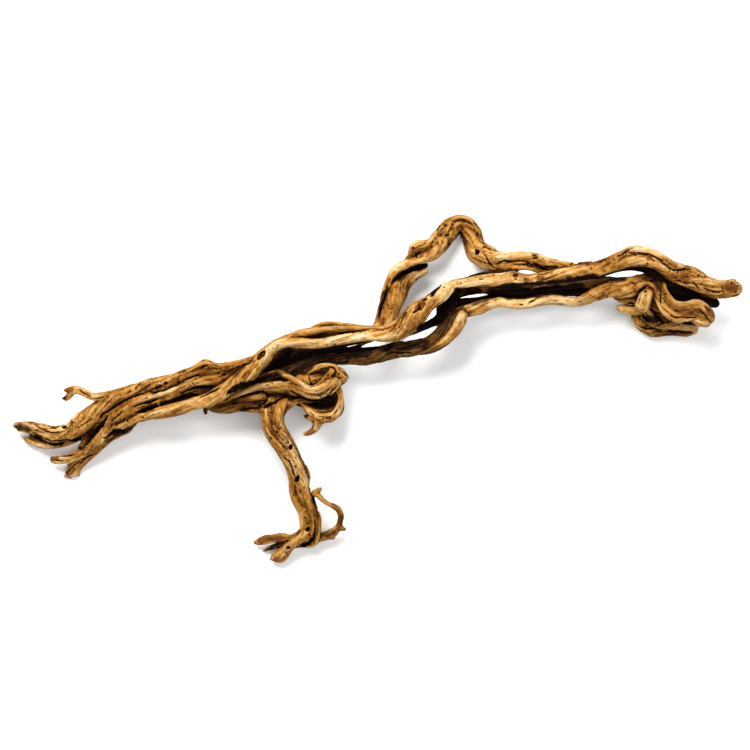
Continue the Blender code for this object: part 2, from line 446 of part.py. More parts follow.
        (210, 380, 24, 7), (238, 376, 25, 7.4), (264, 369, 25, 7.6), (290, 360, 24, 7.4),
        (316, 352.6, 26, 6.6), (342, 350, 30, 5.6),
    ],
    "under_right": [
        (150, 384, 36, 6), (176, 380.6, 36, 6), (204, 374, 37, 6.4), (230, 371, 38, 7),
        (252, 366, 40, 7), (270, 358.6, 43, 7), (284, 350, 46, 6), (300, 344.4, 50, 4.8),
        (320, 344, 54, 4.6),
    ],
}

# Knot holes and pits: (x, y, height of the centre, half length, half width, half depth, turn in degrees).
HOLES = {
    "front_stem_eye": (262, 355, 70, 6.5, 3.2, 7, 50),
    "front_stem_knot": (420.5, 308, 72, 6, 3.4, 7, 40),
    "arch_hollow": (413, 269, 31, 8, 2.6, 8, 12),
    "arch_hole": (477.5, 252, 34, 2.6, 2.6, 8, 0),
    "leg_eye": (297, 479.5, 46, 4.4, 2.2, 6, 75),
    "leg_foot_eye": (307.4, 530, 31, 2.8, 2.2, 6, 0),
    "leg_top_eye": (291, 447, 56, 3, 2, 5, 60),
    "toe_eye": (288, 548.5, 23, 2.4, 1.8, 5, 0),
    "root_eye": (64, 427.4, 35, 2.6, 1.8, 5, 0),
}

SIDES = 10
SPACING = 0.9
SHORTEST_STEP = 3.0
LONGEST_STEP = 6.0
TIP_LENGTH = 0.55

# Shallow flutes that wind round each stem.
FLUTES = 3
FLUTE_DEPTH = 0.07
FLUTE_TWIST = 0.045

# Fusing: neighbouring stems grow together over this distance, and the body keeps this many facets.
FUSE = 1.5 * MM
FACETS = 10600
FLOOR_BOX = 2.0

WOOD = (0.42, 0.235, 0.075, 1.0)


def clear_scene():
    for item in list(bpy.data.objects):
        bpy.data.objects.remove(item, do_unlink=True)


def on_sheet(x, y, height):
    """A point of the sheet in the part's own frame, in metres."""
    return Vector(((x - SHEET_ORIGIN[0]) * MM, (SHEET_ORIGIN[1] - y) * MM, height * MM))


def curve_point(points, place):
    """A point of the smooth curve through a route; its fourth number is the half thickness."""
    last = len(points) - 1
    start = min(int(place), last - 1)
    t = place - start
    before = points[max(start - 1, 0)]
    after = points[min(start + 2, last)]
    values = []
    for a, b, c, d in zip(before, points[start], points[start + 1], after):
        value = b + 0.5 * t * (c - a + t * (2 * a - 5 * b + 4 * c - d + t * (3 * (b - c) + d - a)))
        values.append(value)
    return values


def sample_route(points):
    """Rings along a route, closer together where the stem is thin."""
    fine = [curve_point(points, step / 12) for step in range(12 * (len(points) - 1) + 1)]
    rings = [fine[0]]
    gone = 0.0
    for previous, current in zip(fine, fine[1:]):
        gone += math.dist(previous[:3], current[:3])
        if gone >= min(max(SPACING * current[3], SHORTEST_STEP), LONGEST_STEP):
            rings.append(current)
            gone = 0.0
    if gone > 0.0:
        if gone < SHORTEST_STEP / 2 and len(rings) > 2:
            rings.pop()
        rings.append(fine[-1])
    return rings


def ring_axes(centres, index):
    """The direction along a stem at one of its rings, and the two across it."""
    ahead = centres[min(index + 1, len(centres) - 1)]
    behind = centres[max(index - 1, 0)]
    along = (ahead - behind).normalized()
    across = Vector((0, 0, 1)).cross(along).normalized()
    return along, across, along.cross(across)


def add_tube(name, collection, phase):
    """Sweep one route into a closed, fluted tube with pointed ends."""
    samples = sample_route(ROUTES[name])
    centres = [on_sheet(*sample[:3]) for sample in samples]
    mesh = bmesh.new()
    rings = []
    distance = 0.0
    for index, centre in enumerate(centres):
        if index:
            distance += math.dist(samples[index][:3], samples[index - 1][:3])
        along, across, up = ring_axes(centres, index)
        ring = []
        for step in range(SIDES):
            angle = math.tau * step / SIDES
            flute = 1 + FLUTE_DEPTH * math.cos(FLUTES * angle + phase + FLUTE_TWIST * distance)
            spoke = across * math.cos(angle) + up * math.sin(angle)
            ring.append(mesh.verts.new(centre + spoke * samples[index][3] * flute * MM))
        rings.append(ring)
    for ring, following in zip(rings, rings[1:]):
        for step in range(SIDES):
            after = (step + 1) % SIDES
            mesh.faces.new((ring[step], ring[after], following[step]))
            mesh.faces.new((ring[after], following[after], following[step]))
    for end, direction in ((0, -1), (len(rings) - 1, 1)):
        along = ring_axes(centres, end)[0]
        reach = direction * samples[end][3] * TIP_LENGTH * MM
        tip = mesh.verts.new(centres[end] + along * reach)
        for step in range(SIDES):
            mesh.faces.new((rings[end][step], rings[end][(step + 1) % SIDES], tip))
    bmesh.ops.recalc_face_normals(mesh, faces=mesh.faces)
    return as_object(name, mesh, collection)


def as_object(name, mesh, collection):
    data = bpy.data.meshes.new(name)
    mesh.to_mesh(data)
    mesh.free()
    item = bpy.data.objects.new(name, data)
    collection.objects.link(item)
    return item


def add_hole(name, hole, collection):
    """An egg-shaped cutter."""
    x, y, height, half_length, half_width, half_depth, turn = hole
    mesh = bmesh.new()
    bmesh.ops.create_icosphere(mesh, subdivisions=1, radius=1.0)
    size = Matrix.Diagonal((half_length * MM, half_width * MM, half_depth * MM, 1.0))
    place = Matrix.Translation(on_sheet(x, y, height)) @ Matrix.Rotation(math.radians(turn), 4, "Z")
    bmesh.ops.transform(mesh, matrix=place @ size, verts=mesh.verts)
    return as_object(name, mesh, collection)


def add_floor_box(collection):
    """A box below the surface that the branch lies on."""
    mesh = bmesh.new()
    bmesh.ops.create_cube(mesh, size=FLOOR_BOX)
    bmesh.ops.translate(mesh, vec=(0, 0, -FLOOR_BOX / 2), verts=mesh.verts)
    return as_object("floor_box", mesh, collection)


def apply_modifiers(item):
    """Replace an object's mesh with what its modifiers make of it."""
    evaluated = item.evaluated_get(bpy.context.evaluated_depsgraph_get())
    result = bpy.data.meshes.new_from_object(evaluated)
    item.modifiers.clear()
    item.data = result


def combine(item, operation, collection):
    """Join an object with a whole collection or cut it, then remove the collection's objects."""
    modifier = item.modifiers.new(operation, "BOOLEAN")
    modifier.operation = operation
    modifier.operand_type = "COLLECTION"
    modifier.collection = collection
    modifier.solver = "EXACT"
    apply_modifiers(item)
    for used in list(collection.objects):
        bpy.data.objects.remove(used, do_unlink=True)
    bpy.data.collections.remove(collection)


def fuse(item):
    """Let the joined stems grow together, and spread the facets evenly."""
    even = item.modifiers.new("even", "REMESH")
    even.mode = "VOXEL"
    even.voxel_size = FUSE
    apply_modifiers(item)
    keep_outer_body(item)
    fewer = item.modifiers.new("fewer", "DECIMATE")
    fewer.ratio = FACETS / len(item.data.polygons)
    fewer.use_collapse_triangulate = True
    apply_modifiers(item)


def shell_span(shell):
    xs = [vert.co.x for face in shell for vert in face.verts]
    return max(xs) - min(xs)


def keep_outer_body(item):
    """Fill sealed hollows and drop loose scraps: only the longest closed surface stays."""
    mesh = bmesh.new()
    mesh.from_mesh(item.data)
    unseen = set(mesh.faces)
    shells = []
    while unseen:
        shell = [unseen.pop()]
        for face in shell:
            for edge in face.edges:
                for other in edge.link_faces:
                    if other in unseen:
                        unseen.discard(other)
                        shell.append(other)
        shells.append(shell)
    shells.sort(key=shell_span, reverse=True)
    for shell in shells[1:]:
        bmesh.ops.delete(mesh, geom=shell, context="FACES")
    bmesh.ops.triangulate(mesh, faces=mesh.faces)
    mesh.to_mesh(item.data)
    mesh.free()


def wood_material():
    wood = bpy.data.materials.new("wood")
    wood.use_nodes = True
    shader = wood.node_tree.nodes["Principled BSDF"]
    shader.inputs["Base Color"].default_value = WOOD
    shader.inputs["Roughness"].default_value = 0.6
    shader.inputs["Metallic"].default_value = 0.0
    wood.diffuse_color = WOOD
    return wood


def new_collection(name):
    collection = bpy.data.collections.new(name)
    bpy.context.scene.collection.children.link(collection)
    return collection


def main():
    clear_scene()
    stems = new_collection("stems")
    for number, name in enumerate(ROUTES):
        add_tube(name, stems, 1.7 * number)
    branch = stems.objects["rail"]
    bpy.context.scene.collection.objects.link(branch)
    stems.objects.unlink(branch)
    combine(branch, "UNION", stems)
    keep_outer_body(branch)
    fuse(branch)
    cutters = new_collection("cutters")
    add_floor_box(cutters)
    for name, hole in HOLES.items():
        add_hole(name, hole, cutters)
    combine(branch, "DIFFERENCE", cutters)
    keep_outer_body(branch)
    branch.name = "branch"
    branch.data.name = "branch"
    branch.data.shade_smooth()
    branch.data.set_sharp_from_angle(angle=math.radians(50))
    branch.data.materials.clear()
    branch.data.materials.append(wood_material())


main()
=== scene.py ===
"""The dressed model of a dried, twisted vine branch, lying on a pale surface and seen from above.

The branch is a bundle of stems that grew round each other and fused. Every stem is a route through
space with its own thickness. The routes fill a distance field, which gets winding ridges, cracks, worm
holes and knots before its surface is taken, so that the grain follows each stem.
"""

import math

import bpy
import numpy as np
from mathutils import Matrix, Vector


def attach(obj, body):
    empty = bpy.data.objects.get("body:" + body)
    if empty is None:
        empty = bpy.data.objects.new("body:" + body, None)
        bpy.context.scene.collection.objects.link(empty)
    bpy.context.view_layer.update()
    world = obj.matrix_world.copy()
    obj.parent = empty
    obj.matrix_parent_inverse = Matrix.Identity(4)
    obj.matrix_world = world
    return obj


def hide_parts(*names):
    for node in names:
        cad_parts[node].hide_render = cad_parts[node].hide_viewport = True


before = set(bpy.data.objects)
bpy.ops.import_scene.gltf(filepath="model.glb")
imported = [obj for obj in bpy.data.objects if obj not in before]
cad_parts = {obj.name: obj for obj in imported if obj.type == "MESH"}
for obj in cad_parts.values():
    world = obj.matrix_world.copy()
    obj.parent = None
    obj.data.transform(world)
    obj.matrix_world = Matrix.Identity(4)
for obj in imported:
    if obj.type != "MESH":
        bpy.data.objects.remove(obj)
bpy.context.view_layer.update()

MM = 0.001

# The middle of the branch on the sheet, which becomes the origin.
SHEET_ORIGIN = (376.0, 388.5)

# Routes are drawn on a sheet: x runs to the right and y down, seen from above the lying branch.
# Each point is (x, y, height of the centre line above the surface, half thickness), in millimetres.
ROUTES = {
    # The long front stem, from the left fork to the right tip.
    "rail": [
        (120, 423, 38, 7), (135, 418, 42, 6), (150, 414, 46, 5.9), (165, 411.6, 50, 6.6),
        (180, 408, 53, 6.6), (195, 403.5, 56, 6.4), (210, 399, 58, 6.8), (222, 392.5, 60, 7.6),
        (235, 384, 62, 8.2), (248, 375, 64, 8.2), (257, 367, 66, 7.8), (264, 358, 67, 7),
        (270, 350.5, 67, 6), (278, 345, 66, 5.2), (288, 342.3, 65, 4.9), (300, 342.4, 64, 5),
        (312, 343.4, 64, 5.2), (325, 342.5, 63, 5.4), (340, 340.2, 62, 5.3), (355, 337.6, 61, 5.2),
        (370, 336, 60, 5.4), (385, 336.3, 60, 6.2), (397, 333, 60, 7.8), (408, 324.5, 61, 9.6),
        (417.2, 313.6, 62, 10.2), (425.2, 305.6, 62, 8.2), (433, 300.5, 62, 6.8), (441, 295, 62, 7),
        (448, 288.5, 61, 6.6), (457, 284.5, 60, 5.2), (468, 282.8, 59, 5), (482, 280.8, 58, 6),
        (500, 280.3, 57, 6.3), (515, 279.3, 56, 7), (530, 281, 55, 6.8), (545, 278.4, 55, 7.4),
        (562, 275.3, 55, 7.4), (582, 272.2, 55, 7), (600, 268.6, 56, 6.8), (615, 264.8, 57, 7),
        (630, 261, 58, 6.9), (645, 260.6, 58, 6.8), (656, 264, 57, 7.2), (666, 270, 55, 7.4),
        (676, 275.2, 53, 7.2), (687, 278.5, 51, 8.4), (699, 281.5, 49, 9.4), (714, 287.6, 47, 8.6),
        (727, 289.5, 46, 8.4), (735, 289.5, 45, 7.2),
    ],
    # Roots at the left end.
    "top_root": [
        (13.6, 425.6, 14, 3.4), (21, 426.4, 15, 5), (30, 427.4, 17, 6.4), (40, 430.6, 20, 7.2),
        (50, 433.8, 23, 7.8), (60, 433.3, 26, 8), (70, 430.2, 29, 8.8), (80, 424.3, 32, 10),
        (90, 417, 35, 9.8), (100, 409, 38, 9.4), (110, 402, 41, 9.6), (120, 397, 43, 8.6),
        (135, 392, 46, 8), (150, 386, 48, 7.2), (165, 381.5, 50, 6.4), (180, 377, 51, 5.4),
        (195, 372.5, 52, 5), (210, 369.5, 53, 4.8), (228, 367, 55, 4.8), (243, 363.5, 57, 4.6),
        (255, 359, 60, 4.2), (262.4, 352.6, 62, 3.6),
    ],
    "top_root_ridge": [
        (40, 427.5, 22, 3), (52, 429.5, 25, 3.4), (64, 428, 28, 3.6), (77, 423.4, 32, 4.2),
        (88, 414.8, 37, 4.4), (99, 406.2, 41, 4.2), (112, 397, 45, 5), (124, 393.5, 48, 4.6),
        (138, 388, 50, 4.6), (150, 383.8, 51, 4.4),
    ],
    "second_root": [
        (23, 438.8, 6, 1.6), (27, 440.6, 7, 3), (33, 441.6, 8, 4.3), (40, 443.8, 10, 5.3),
        (47, 445, 12, 4.8), (55, 444.8, 14, 4.2), (64, 443, 17, 3.8), (72, 440.2, 20, 3.6),
        (80, 435.5, 24, 4), (90, 428, 29, 4.6), (102, 419, 34, 4.4),
    ],
    "second_root_prong": [(28, 436.2, 8, 1.4), (31.6, 437, 9, 2.2), (37, 441, 10, 3)],
    "stub_root": [
        (77.8, 449, 20, 2), (80.2, 446, 22, 2.6), (84, 440, 25, 2.6), (88, 433, 28, 2.8),
        (94, 426, 32, 3.2), (101, 420.5, 36, 3.2), (108, 415.5, 40, 2.8),
    ],
    "twig": [
        (64.6, 398.4, 49, 2), (67.6, 397.6, 50, 2.7), (69.8, 394.4, 51, 3), (72.6, 390.6, 51, 4),
        (78, 389.8, 51, 4.2), (85, 393, 49, 4.1), (92, 396.4, 47, 4.2), (100, 396.6, 45, 4.2),
        (110, 396, 43, 4.5),
    ],
    "twig_prong": [(66.2, 390.2, 53, 1.4), (69.5, 389.2, 52, 2.2), (75, 389.4, 51, 3)],
    "fork": [
        (67.5, 476, 3.2, 2.6), (69.5, 471.5, 3.4, 4.7), (72, 466, 4.8, 5.4), (77, 459.5, 10, 6),
        (85, 452.5, 16, 6.4), (93, 445, 22, 7), (101, 436.5, 30, 7.4), (110, 428.3, 35, 7.2),
        (119, 420.5, 39, 6.6), (130, 414, 42, 5.6), (144, 411, 44, 4.4),
    ],
    "fork_prong": [
        (51, 460, 13, 3.2), (54.4, 459.6, 14, 3.6), (60, 459.8, 15, 3.9), (67, 459.2, 15, 4.4),
        (74, 457.2, 16, 4.2), (82, 453.5, 18, 4.6),
    ],
    "fork_prong_ridge": [
        (58, 456.6, 17, 1), (66, 456.2, 18, 1.5), (74, 453.8, 19, 2), (82, 450.5, 22, 2.5),
    ],
    "fork_heel": [
        (64.6, 475.6, 2.6, 2.4), (72, 473.4, 3.4, 4.6), (77.5, 466.6, 7, 3.9), (85, 460, 12, 3.6),
        (93, 453.2, 18, 3.4), (102, 445.4, 23, 3.3), (111, 438.2, 27, 3), (119, 433.6, 30, 3),
    ],
    "flange": [
        (97, 447.8, 18, 2), (106, 441.8, 20, 2.2), (115, 436.8, 23, 2.1), (123, 433.4, 26, 2.1),
        (128.6, 430, 29, 2.4), (131.4, 425, 33, 2.6), (137, 420.2, 38, 3),
    ],
    # Stems along the trunk, between the roots and the front stem.
    "trunk_core": [
        (96, 424, 30, 8), (112, 413, 33, 12), (135, 404, 34, 13), (165, 397, 34, 14),
        (195, 391, 34, 14), (222, 389, 34, 14), (245, 385, 34, 14), (265, 379, 33, 12),
    ],
    "second_stem": [
        (101, 420, 42, 2), (108, 415.5, 44, 3.4), (118, 410, 46, 4.6), (129, 404.4, 48, 5),
        (140, 399.3, 50, 4.8), (151, 395.7, 52, 4.6), (162, 393, 53, 4.6), (172, 390.6, 54, 4.6),
        (183, 386, 54, 4.6), (193, 381.8, 54, 4.8), (205, 379.6, 54, 5.4), (218, 379.4, 54, 6),
        (230, 376.4, 56, 5.6), (241, 371.4, 58, 5), (250, 366, 60, 4.6), (258, 359.5, 62, 4),
    ],
    "bright_stem": [
        (150, 389.5, 50, 2.6), (165, 385.6, 52, 3), (180, 379.4, 54, 3), (191, 375, 56, 2.8),
        (203, 372.4, 56, 2.6), (218, 371.4, 56, 2.8), (232, 369.6, 57, 3), (246, 366, 59, 3),
    ],
    "third_stem": [
        (104, 424, 38, 4), (113, 418.4, 42, 5), (124, 413, 46, 4.8), (135, 409.4, 48, 3.8),
        (146, 406, 49, 3.6), (156, 402.4, 50, 3.6), (165, 398.2, 51, 3.6), (175, 394, 51, 3.4),
        (185, 391, 50, 3), (195, 388.4, 48, 3), (208, 388.6, 46, 3.4), (222, 388, 45, 4),
    ],
    "recess_stem": [
        (160, 404.5, 42, 3.6), (172, 401, 41, 3.6), (184, 398.5, 40, 3.6), (196, 395, 41, 4),
        (206, 392, 43, 3.6), (218, 390, 44, 4),
    ],
    "crest": [
        (176, 375.4, 52, 2.6), (187, 371.4, 53, 3.2), (197, 367.2, 54, 3.4), (206, 363, 55, 3.9),
        (216, 365.8, 56, 3.2), (230, 366, 57, 3.2), (243, 363.2, 58, 3.2), (254, 359, 60, 3.2),
        (261, 353.4, 61, 3.2), (268, 347.2, 62, 3.2), (277, 341.7, 62, 3), (286, 337.8, 61, 2.6),
    ],
    # Two thin stems over the front stem, in the middle.
    "upper_stem": [
        (283, 340.5, 64, 3), (294, 335.3, 62, 3.6), (307, 332.3, 60, 4.2), (321, 330, 58, 4),
        (336, 328.8, 57, 3.4), (352, 328.6, 57, 2.9), (368, 329.2, 57, 2.4), (382, 329.8, 58, 2.6),
        (392, 326.6, 60, 3), (401, 320, 61, 3.6), (408, 312.8, 62, 3.8), (415, 306.8, 62, 4),
        (423.6, 302.2, 61, 3.2),
    ],
    "upper_stem_back": [
        (300, 333.8, 53, 2.6), (311, 330, 53, 2.8), (321, 325.4, 52, 3.3), (333, 324, 52, 3),
        (347, 325.6, 52, 2.8), (361, 327.4, 53, 2.6), (374, 328, 54, 2.4), (386, 327.5, 56, 2.6),
        (396, 321.6, 58, 2.6), (404, 313.6, 60, 2.6),
    ],
    "rail_backing": [
        (423, 304.4, 51, 4.4), (432, 297.4, 50, 4.4), (441, 290, 49, 4.2), (450, 285, 49, 3.8),
        (460, 281.8, 51, 3.5), (472, 279.8, 53, 3.6),
    ],
    # The arch, which props the branch on the surface at its top.
    "arch_foot": [
        (374, 334, 36, 7), (385, 325, 33, 8.6), (390, 312, 29, 9.8), (393.6, 300, 26, 10.6),
        (398, 289, 24, 10.4), (404, 281, 23, 8.6), (412, 276.4, 23, 6.2), (419.6, 272.8, 24, 5),
        (425.6, 271.2, 25, 3),
    ],
    "arch_left": [
        (376.8, 326, 34, 3.4), (380.8, 308, 30, 3.2), (384.6, 292, 28, 3.7), (389.4, 281, 27, 4.6),
        (396, 271, 27, 5.4), (405, 264.6, 27, 5), (415, 261.2, 27, 4), (426, 257, 26, 5.4),
        (435, 250.6, 24, 7.4), (441, 242, 21, 9),
    ],
    "arch_knuckle": [
        (410.4, 255.5, 25, 3.2), (412.8, 249.8, 26, 4.4), (417, 245.8, 26, 6),
        (425, 245.4, 25, 5.9), (432, 242.4, 24, 5.2), (438, 235.5, 21, 5), (444, 228.5, 18, 5),
    ],
    "arch_top": [
        (431, 254, 24, 5.6), (437, 247, 22, 8.6), (442, 239.2, 18, 10.2), (448.6, 230.4, 13, 10.6),
        (457, 224.5, 8.6, 9.4), (465, 225, 7.9, 9.2), (470.8, 232, 11.4, 10.1),
        (473.8, 240.4, 16, 10.1), (477.4, 249.8, 22, 11.4), (487, 257.5, 28, 11),
        (497, 261.2, 33, 10),
    ],
    "arch_ridge": [
        (438.8, 235, 22, 3.6), (446, 225.8, 18, 3.6), (453.4, 219.6, 14, 3.6),
        (461, 217.2, 11, 3.7), (468.8, 220, 11, 4.1), (473.8, 227.4, 14, 3.5),
        (476.4, 236.4, 19, 3.4), (482, 245.4, 25, 4), (492.6, 251.2, 32, 4.8),
    ],
    "arch_end": [
        (484, 252, 30, 6.4), (496, 256.5, 37, 6), (508, 257, 41, 5.6), (521, 256.8, 43, 5.4),
        (533, 257.8, 44, 5.8), (546, 261.2, 46, 4.9), (559, 264, 48, 4.1), (573, 265.6, 51, 3.4),
        (590, 264.4, 53, 3.4),
    ],
    "arch_end_low": [
        (478.6, 255.4, 26, 5.8), (488, 262.6, 32, 5.7), (499, 265.6, 37, 5), (512, 266, 40, 4.6),
        (524, 266.2, 42, 4), (534, 269, 43, 3.2), (543, 272.6, 46, 2.6), (552, 274, 50, 3),
    ],
    # Dark stems inside and behind the middle of the trunk.
    "dark_bundle": [
        (248, 384, 33, 10), (264, 377, 33, 10), (280, 367, 32, 10.4), (296, 359, 31, 10),
        (314, 354.5, 30, 8.8), (335, 353.4, 31, 6.4), (354, 352.4, 32, 5.2), (368, 352, 33, 4.8),
        (382, 350.2, 34, 5), (402, 346.4, 37, 5.4),
    ],
    "brown_stem": [
        (266, 379, 42, 4), (278, 374, 45, 5), (291, 369.6, 46, 5.2), (304, 365.8, 46, 4.4),
        (317, 363, 44, 3.6), (332, 360.6, 43, 3.6),
    ],
    "grey_stem": [
        (248, 388.5, 44, 3.6), (258, 382, 47, 4), (267, 377, 49, 4.2), (276, 373.6, 50, 3.8),
        (285, 374.6, 53, 3), (291, 379, 56, 3),
    ],
    "cross_stem": [
        (326, 345.4, 42, 2.4), (336, 347, 41, 2.6), (347, 349.4, 40, 2.6), (357, 347, 41, 2.6),
        (364, 343, 44, 2.2), (373, 339.4, 50, 2.4),
    ],
    "low_rail": [
        (296, 366.5, 38, 6), (311, 363.4, 39, 6.4), (329, 359.8, 40, 6.2), (346, 358, 40, 6.5),
        (364, 358, 41, 6.8), (378, 355.6, 41, 7), (391, 351, 42, 7.8), (404, 349, 43, 8.1),
        (417, 347.8, 44, 7.9), (429.6, 344.8, 45, 8.8), (440.6, 338.6, 47, 9.7),
        (449.6, 329.8, 49, 9.6), (457, 319.5, 50, 8.4), (463, 312.6, 49, 5.6),
    ],
    "low_rail_lip": [
        (422, 352, 46, 2), (434, 347.2, 52, 2.4), (441, 343.4, 55, 3.4), (448.5, 337.4, 57, 4.6),
        (455.5, 329.6, 58, 5.4), (460.2, 321, 58, 5.6), (463, 315.4, 56, 4.2),
    ],
    "lower_stem": [
        (452, 314, 45, 4.6), (464, 311, 46, 6.6), (477, 308, 46, 6.8), (489, 304.2, 46, 5.8),
        (500, 302.2, 46, 5.2), (512, 304, 46, 5.3), (526, 304.2, 46, 5.2), (540, 300.6, 46, 5.6),
        (555, 299.8, 46, 5.4), (570, 301.6, 46, 5), (583, 299.6, 46, 5.6), (595, 294.2, 46, 7),
        (608, 289.8, 46, 7.8), (622, 288.4, 46, 9), (634, 286.4, 45, 9.8), (646, 284, 44, 9.6),
        (656, 282, 43, 7.6),
    ],
    "web": [
        (458, 288, 48, 4.6), (452, 297, 44, 7.4), (446, 308.4, 41, 9.8), (442, 317.4, 39, 6.8),
        (433, 322.2, 38, 4.2), (421.6, 327.6, 38, 3.4), (410.6, 331.8, 41, 3.6), (398, 336, 46, 4),
    ],
    "web_fold": [(444, 298, 50, 4), (445, 308, 47, 4), (452, 318, 46, 4.6), (459, 322, 47, 4.6)],
    "mid_stem": [
        (449, 296, 46, 5), (463, 292, 45, 5), (475, 290.2, 45, 4.2), (489, 290, 46, 3.2),
        (503, 291.6, 46, 2.8), (520, 291, 45, 2.8), (538, 288.8, 44, 3), (555, 287, 44, 3.2),
        (571, 285.6, 44, 3.4), (586, 284, 44, 3.6), (602, 282.4, 44, 3.6), (620, 280.4, 44, 3.8),
        (636, 280, 45, 4), (648, 277.6, 46, 4.4), (660, 278, 48, 4.4),
    ],
    "mid_stem_low": [
        (451, 305, 40, 5.6), (465, 301.2, 38, 4), (479, 300, 36, 3.4), (492, 297, 35, 3.4),
        (506, 295.2, 35, 3.8), (522, 296.2, 35, 3.8), (537, 293.2, 35, 3.4), (551, 291.8, 35, 3.4),
        (565, 293.6, 35, 3.2), (579, 293.2, 35, 3.2), (592, 288.8, 37, 3.6), (606, 285, 39, 4),
    ],
    "back_stem": [
        (420, 306, 46, 5), (440, 298, 38, 6), (456, 291.4, 33, 5.6), (474, 286.8, 30, 5),
        (490, 288, 28, 6), (508, 290.6, 27, 7.4), (530, 290, 26, 8), (558, 287, 26, 8.6),
        (584, 283.4, 27, 8), (604, 282, 29, 6.4), (622, 283, 31, 6.6), (642, 286, 34, 9),
    ],
    # The knot in the middle, with its two folds, the hollow ring below and the hook.
    "lip": [
        (218, 401.5, 54, 3), (234, 396.4, 54, 3), (248, 390.6, 54, 3.2), (260, 386.2, 54, 3.4),
        (272, 385.2, 55, 3.8), (284, 384.8, 57, 4.4), (294, 387.6, 58, 4.6), (303, 392.4, 58, 4.6),
        (312, 395.6, 57, 3.4), (322, 395, 57, 3.8), (331, 389.4, 57, 4.8), (337, 383, 56, 4.6),
    ],
    "inner_fold": [
        (284.5, 375.5, 58, 2.6), (293, 378.8, 60, 3), (302, 384.6, 61, 3.6), (310, 389.4, 61, 4.2),
        (319, 389, 61, 4.6), (327, 385, 60, 4.8), (335, 380.6, 59, 3.6),
    ],
    "fold_arm": [
        (315, 389, 61, 3), (321, 383, 60, 3.2), (327, 376.6, 59, 3), (332.5, 370, 58, 2.6),
        (335.5, 366.5, 56, 2.2),
    ],
    "knot": [
        (288, 376.6, 40, 6), (300, 374.6, 43, 6.6), (314, 372, 46, 7.6), (326, 371.6, 48, 8.2),
        (336, 374, 48, 8.6), (340.5, 377, 47, 7),
    ],
    "knot_point": [(334, 372, 47, 6), (340.6, 375.4, 47, 5.8), (345.8, 376.8, 46, 3)],
    "knot_low": [(324, 382, 48, 7), (333, 384.5, 48, 5), (340.6, 380.4, 47, 5)],
    "knot_loop": [
        (309, 374.6, 52, 2.2), (314.5, 369.6, 54, 2.8), (322, 366.2, 56, 2.8),
        (329.5, 365.6, 57, 2.4), (335, 367.4, 57, 2.2), (337.4, 371.6, 56, 2),
    ],
    "knot_core": [
        (280, 386, 44, 6), (296, 392, 42, 7), (312, 396, 40, 7), (326, 398, 37, 8),
        (331, 404, 33, 8.4), (327, 411, 32, 6.6),
    ],
    "ring": [
        (301.8, 404.3, 46, 1.6), (306.5, 408.6, 46, 3), (312.5, 413.6, 47, 4.4), (320, 417, 47, 5),
        (328.5, 416.6, 47, 4.8), (335.4, 413.4, 47, 4.7), (339.8, 406, 47, 3.8),
        (341, 397.6, 47, 2.8), (339, 391, 48, 3.2), (336, 386.4, 50, 3),
    ],
    "ring_back": [
        (318, 412, 38, 6), (328, 412.5, 38, 7), (336.5, 410, 38, 6.6), (337.5, 400, 37, 6),
        (335, 391, 40, 5),
    ],
    "ring_chip": [(316.5, 400, 45, 1.8), (319, 403.5, 44, 1.6), (317.5, 406, 43, 1)],
    "hook": [
        (319.6, 418, 45, 5), (317, 424.6, 44, 4.5), (314.4, 429.4, 43, 3.6),
        (309.6, 432.6, 42, 2.9), (304.8, 434.2, 41, 2.3),
    ],
    "thorn": [(304, 415.4, 43, 1.2), (308, 417.2, 44, 2.6), (313.4, 419, 44, 3.4)],
    # Worn wood below the trunk, where the leg leaves it.
    "belly": [
        (206, 404.5, 36, 3), (214, 405.2, 36, 6.8), (226, 405.4, 37, 8.6), (240, 402.4, 37, 8.6),
        (254, 401, 37, 9.2), (268, 400.6, 38, 9.6), (280, 399.6, 40, 9), (292, 396, 41, 7),
    ],
    "belly_plate": [
        (234, 399.6, 44, 2.6), (246, 397.6, 46, 4), (257, 396.4, 47, 4.6), (266, 395.6, 46, 3.6),
    ],
    "belly_stem": [
        (238, 409.4, 40, 2.4), (248, 409.8, 42, 2.6), (259, 410.4, 44, 2.6), (270, 411.6, 46, 2.8),
        (280, 409, 48, 3.4), (288, 403, 49, 3.4),
    ],
    "peg": [(205.4, 413.2, 34, 1.9), (205, 410.2, 34, 2.4), (205.6, 405, 36, 3)],
    # The leg, from the trunk down to its foot.
    "leg": [
        (284, 397, 44, 8), (277, 404, 45, 9.6), (273, 412, 46, 11), (272.6, 421, 47, 11),
        (275, 430.5, 47, 10.8), (280, 440, 46, 10.6), (286.6, 450, 44, 10), (292.6, 460, 42, 9.4),
        (297.6, 470, 39, 9.4), (299.8, 480, 36, 9.8), (299.8, 490, 34, 9.8), (301.6, 500, 31, 9.2),
        (306, 510, 28, 8.8), (309, 520, 25, 8.8), (308.6, 530, 22, 8.4), (303, 537.6, 20, 6),
    ],
    "leg_left": [
        (263.5, 411, 48, 3.6), (264.5, 422, 50, 3.8), (268, 432, 51, 4), (274, 441.6, 51, 3.9),
        (281.2, 452, 49, 4), (287, 461.6, 46, 3.9), (291, 472.6, 43, 3.8), (293, 484, 40, 3.8),
        (293.6, 496, 38, 3.6), (299, 507, 35, 3.4), (302.6, 518, 32, 3), (302.6, 528, 29, 3),
    ],
    "leg_front": [
        (279, 404, 46, 4), (278, 414, 50, 5), (277.5, 424, 53.4, 5), (281, 434, 55, 5.2), (287, 444, 53, 5.2),
        (292.5, 454, 50, 4.8), (297, 464, 47, 4.4), (300, 474, 44, 4), (303.5, 484, 42, 4.6),
        (305, 494, 39, 4.6), (309, 504, 36, 4.2), (312.6, 514, 33, 3.8), (313.6, 524, 30, 3.4),
        (311, 533, 27, 3.2),
    ],
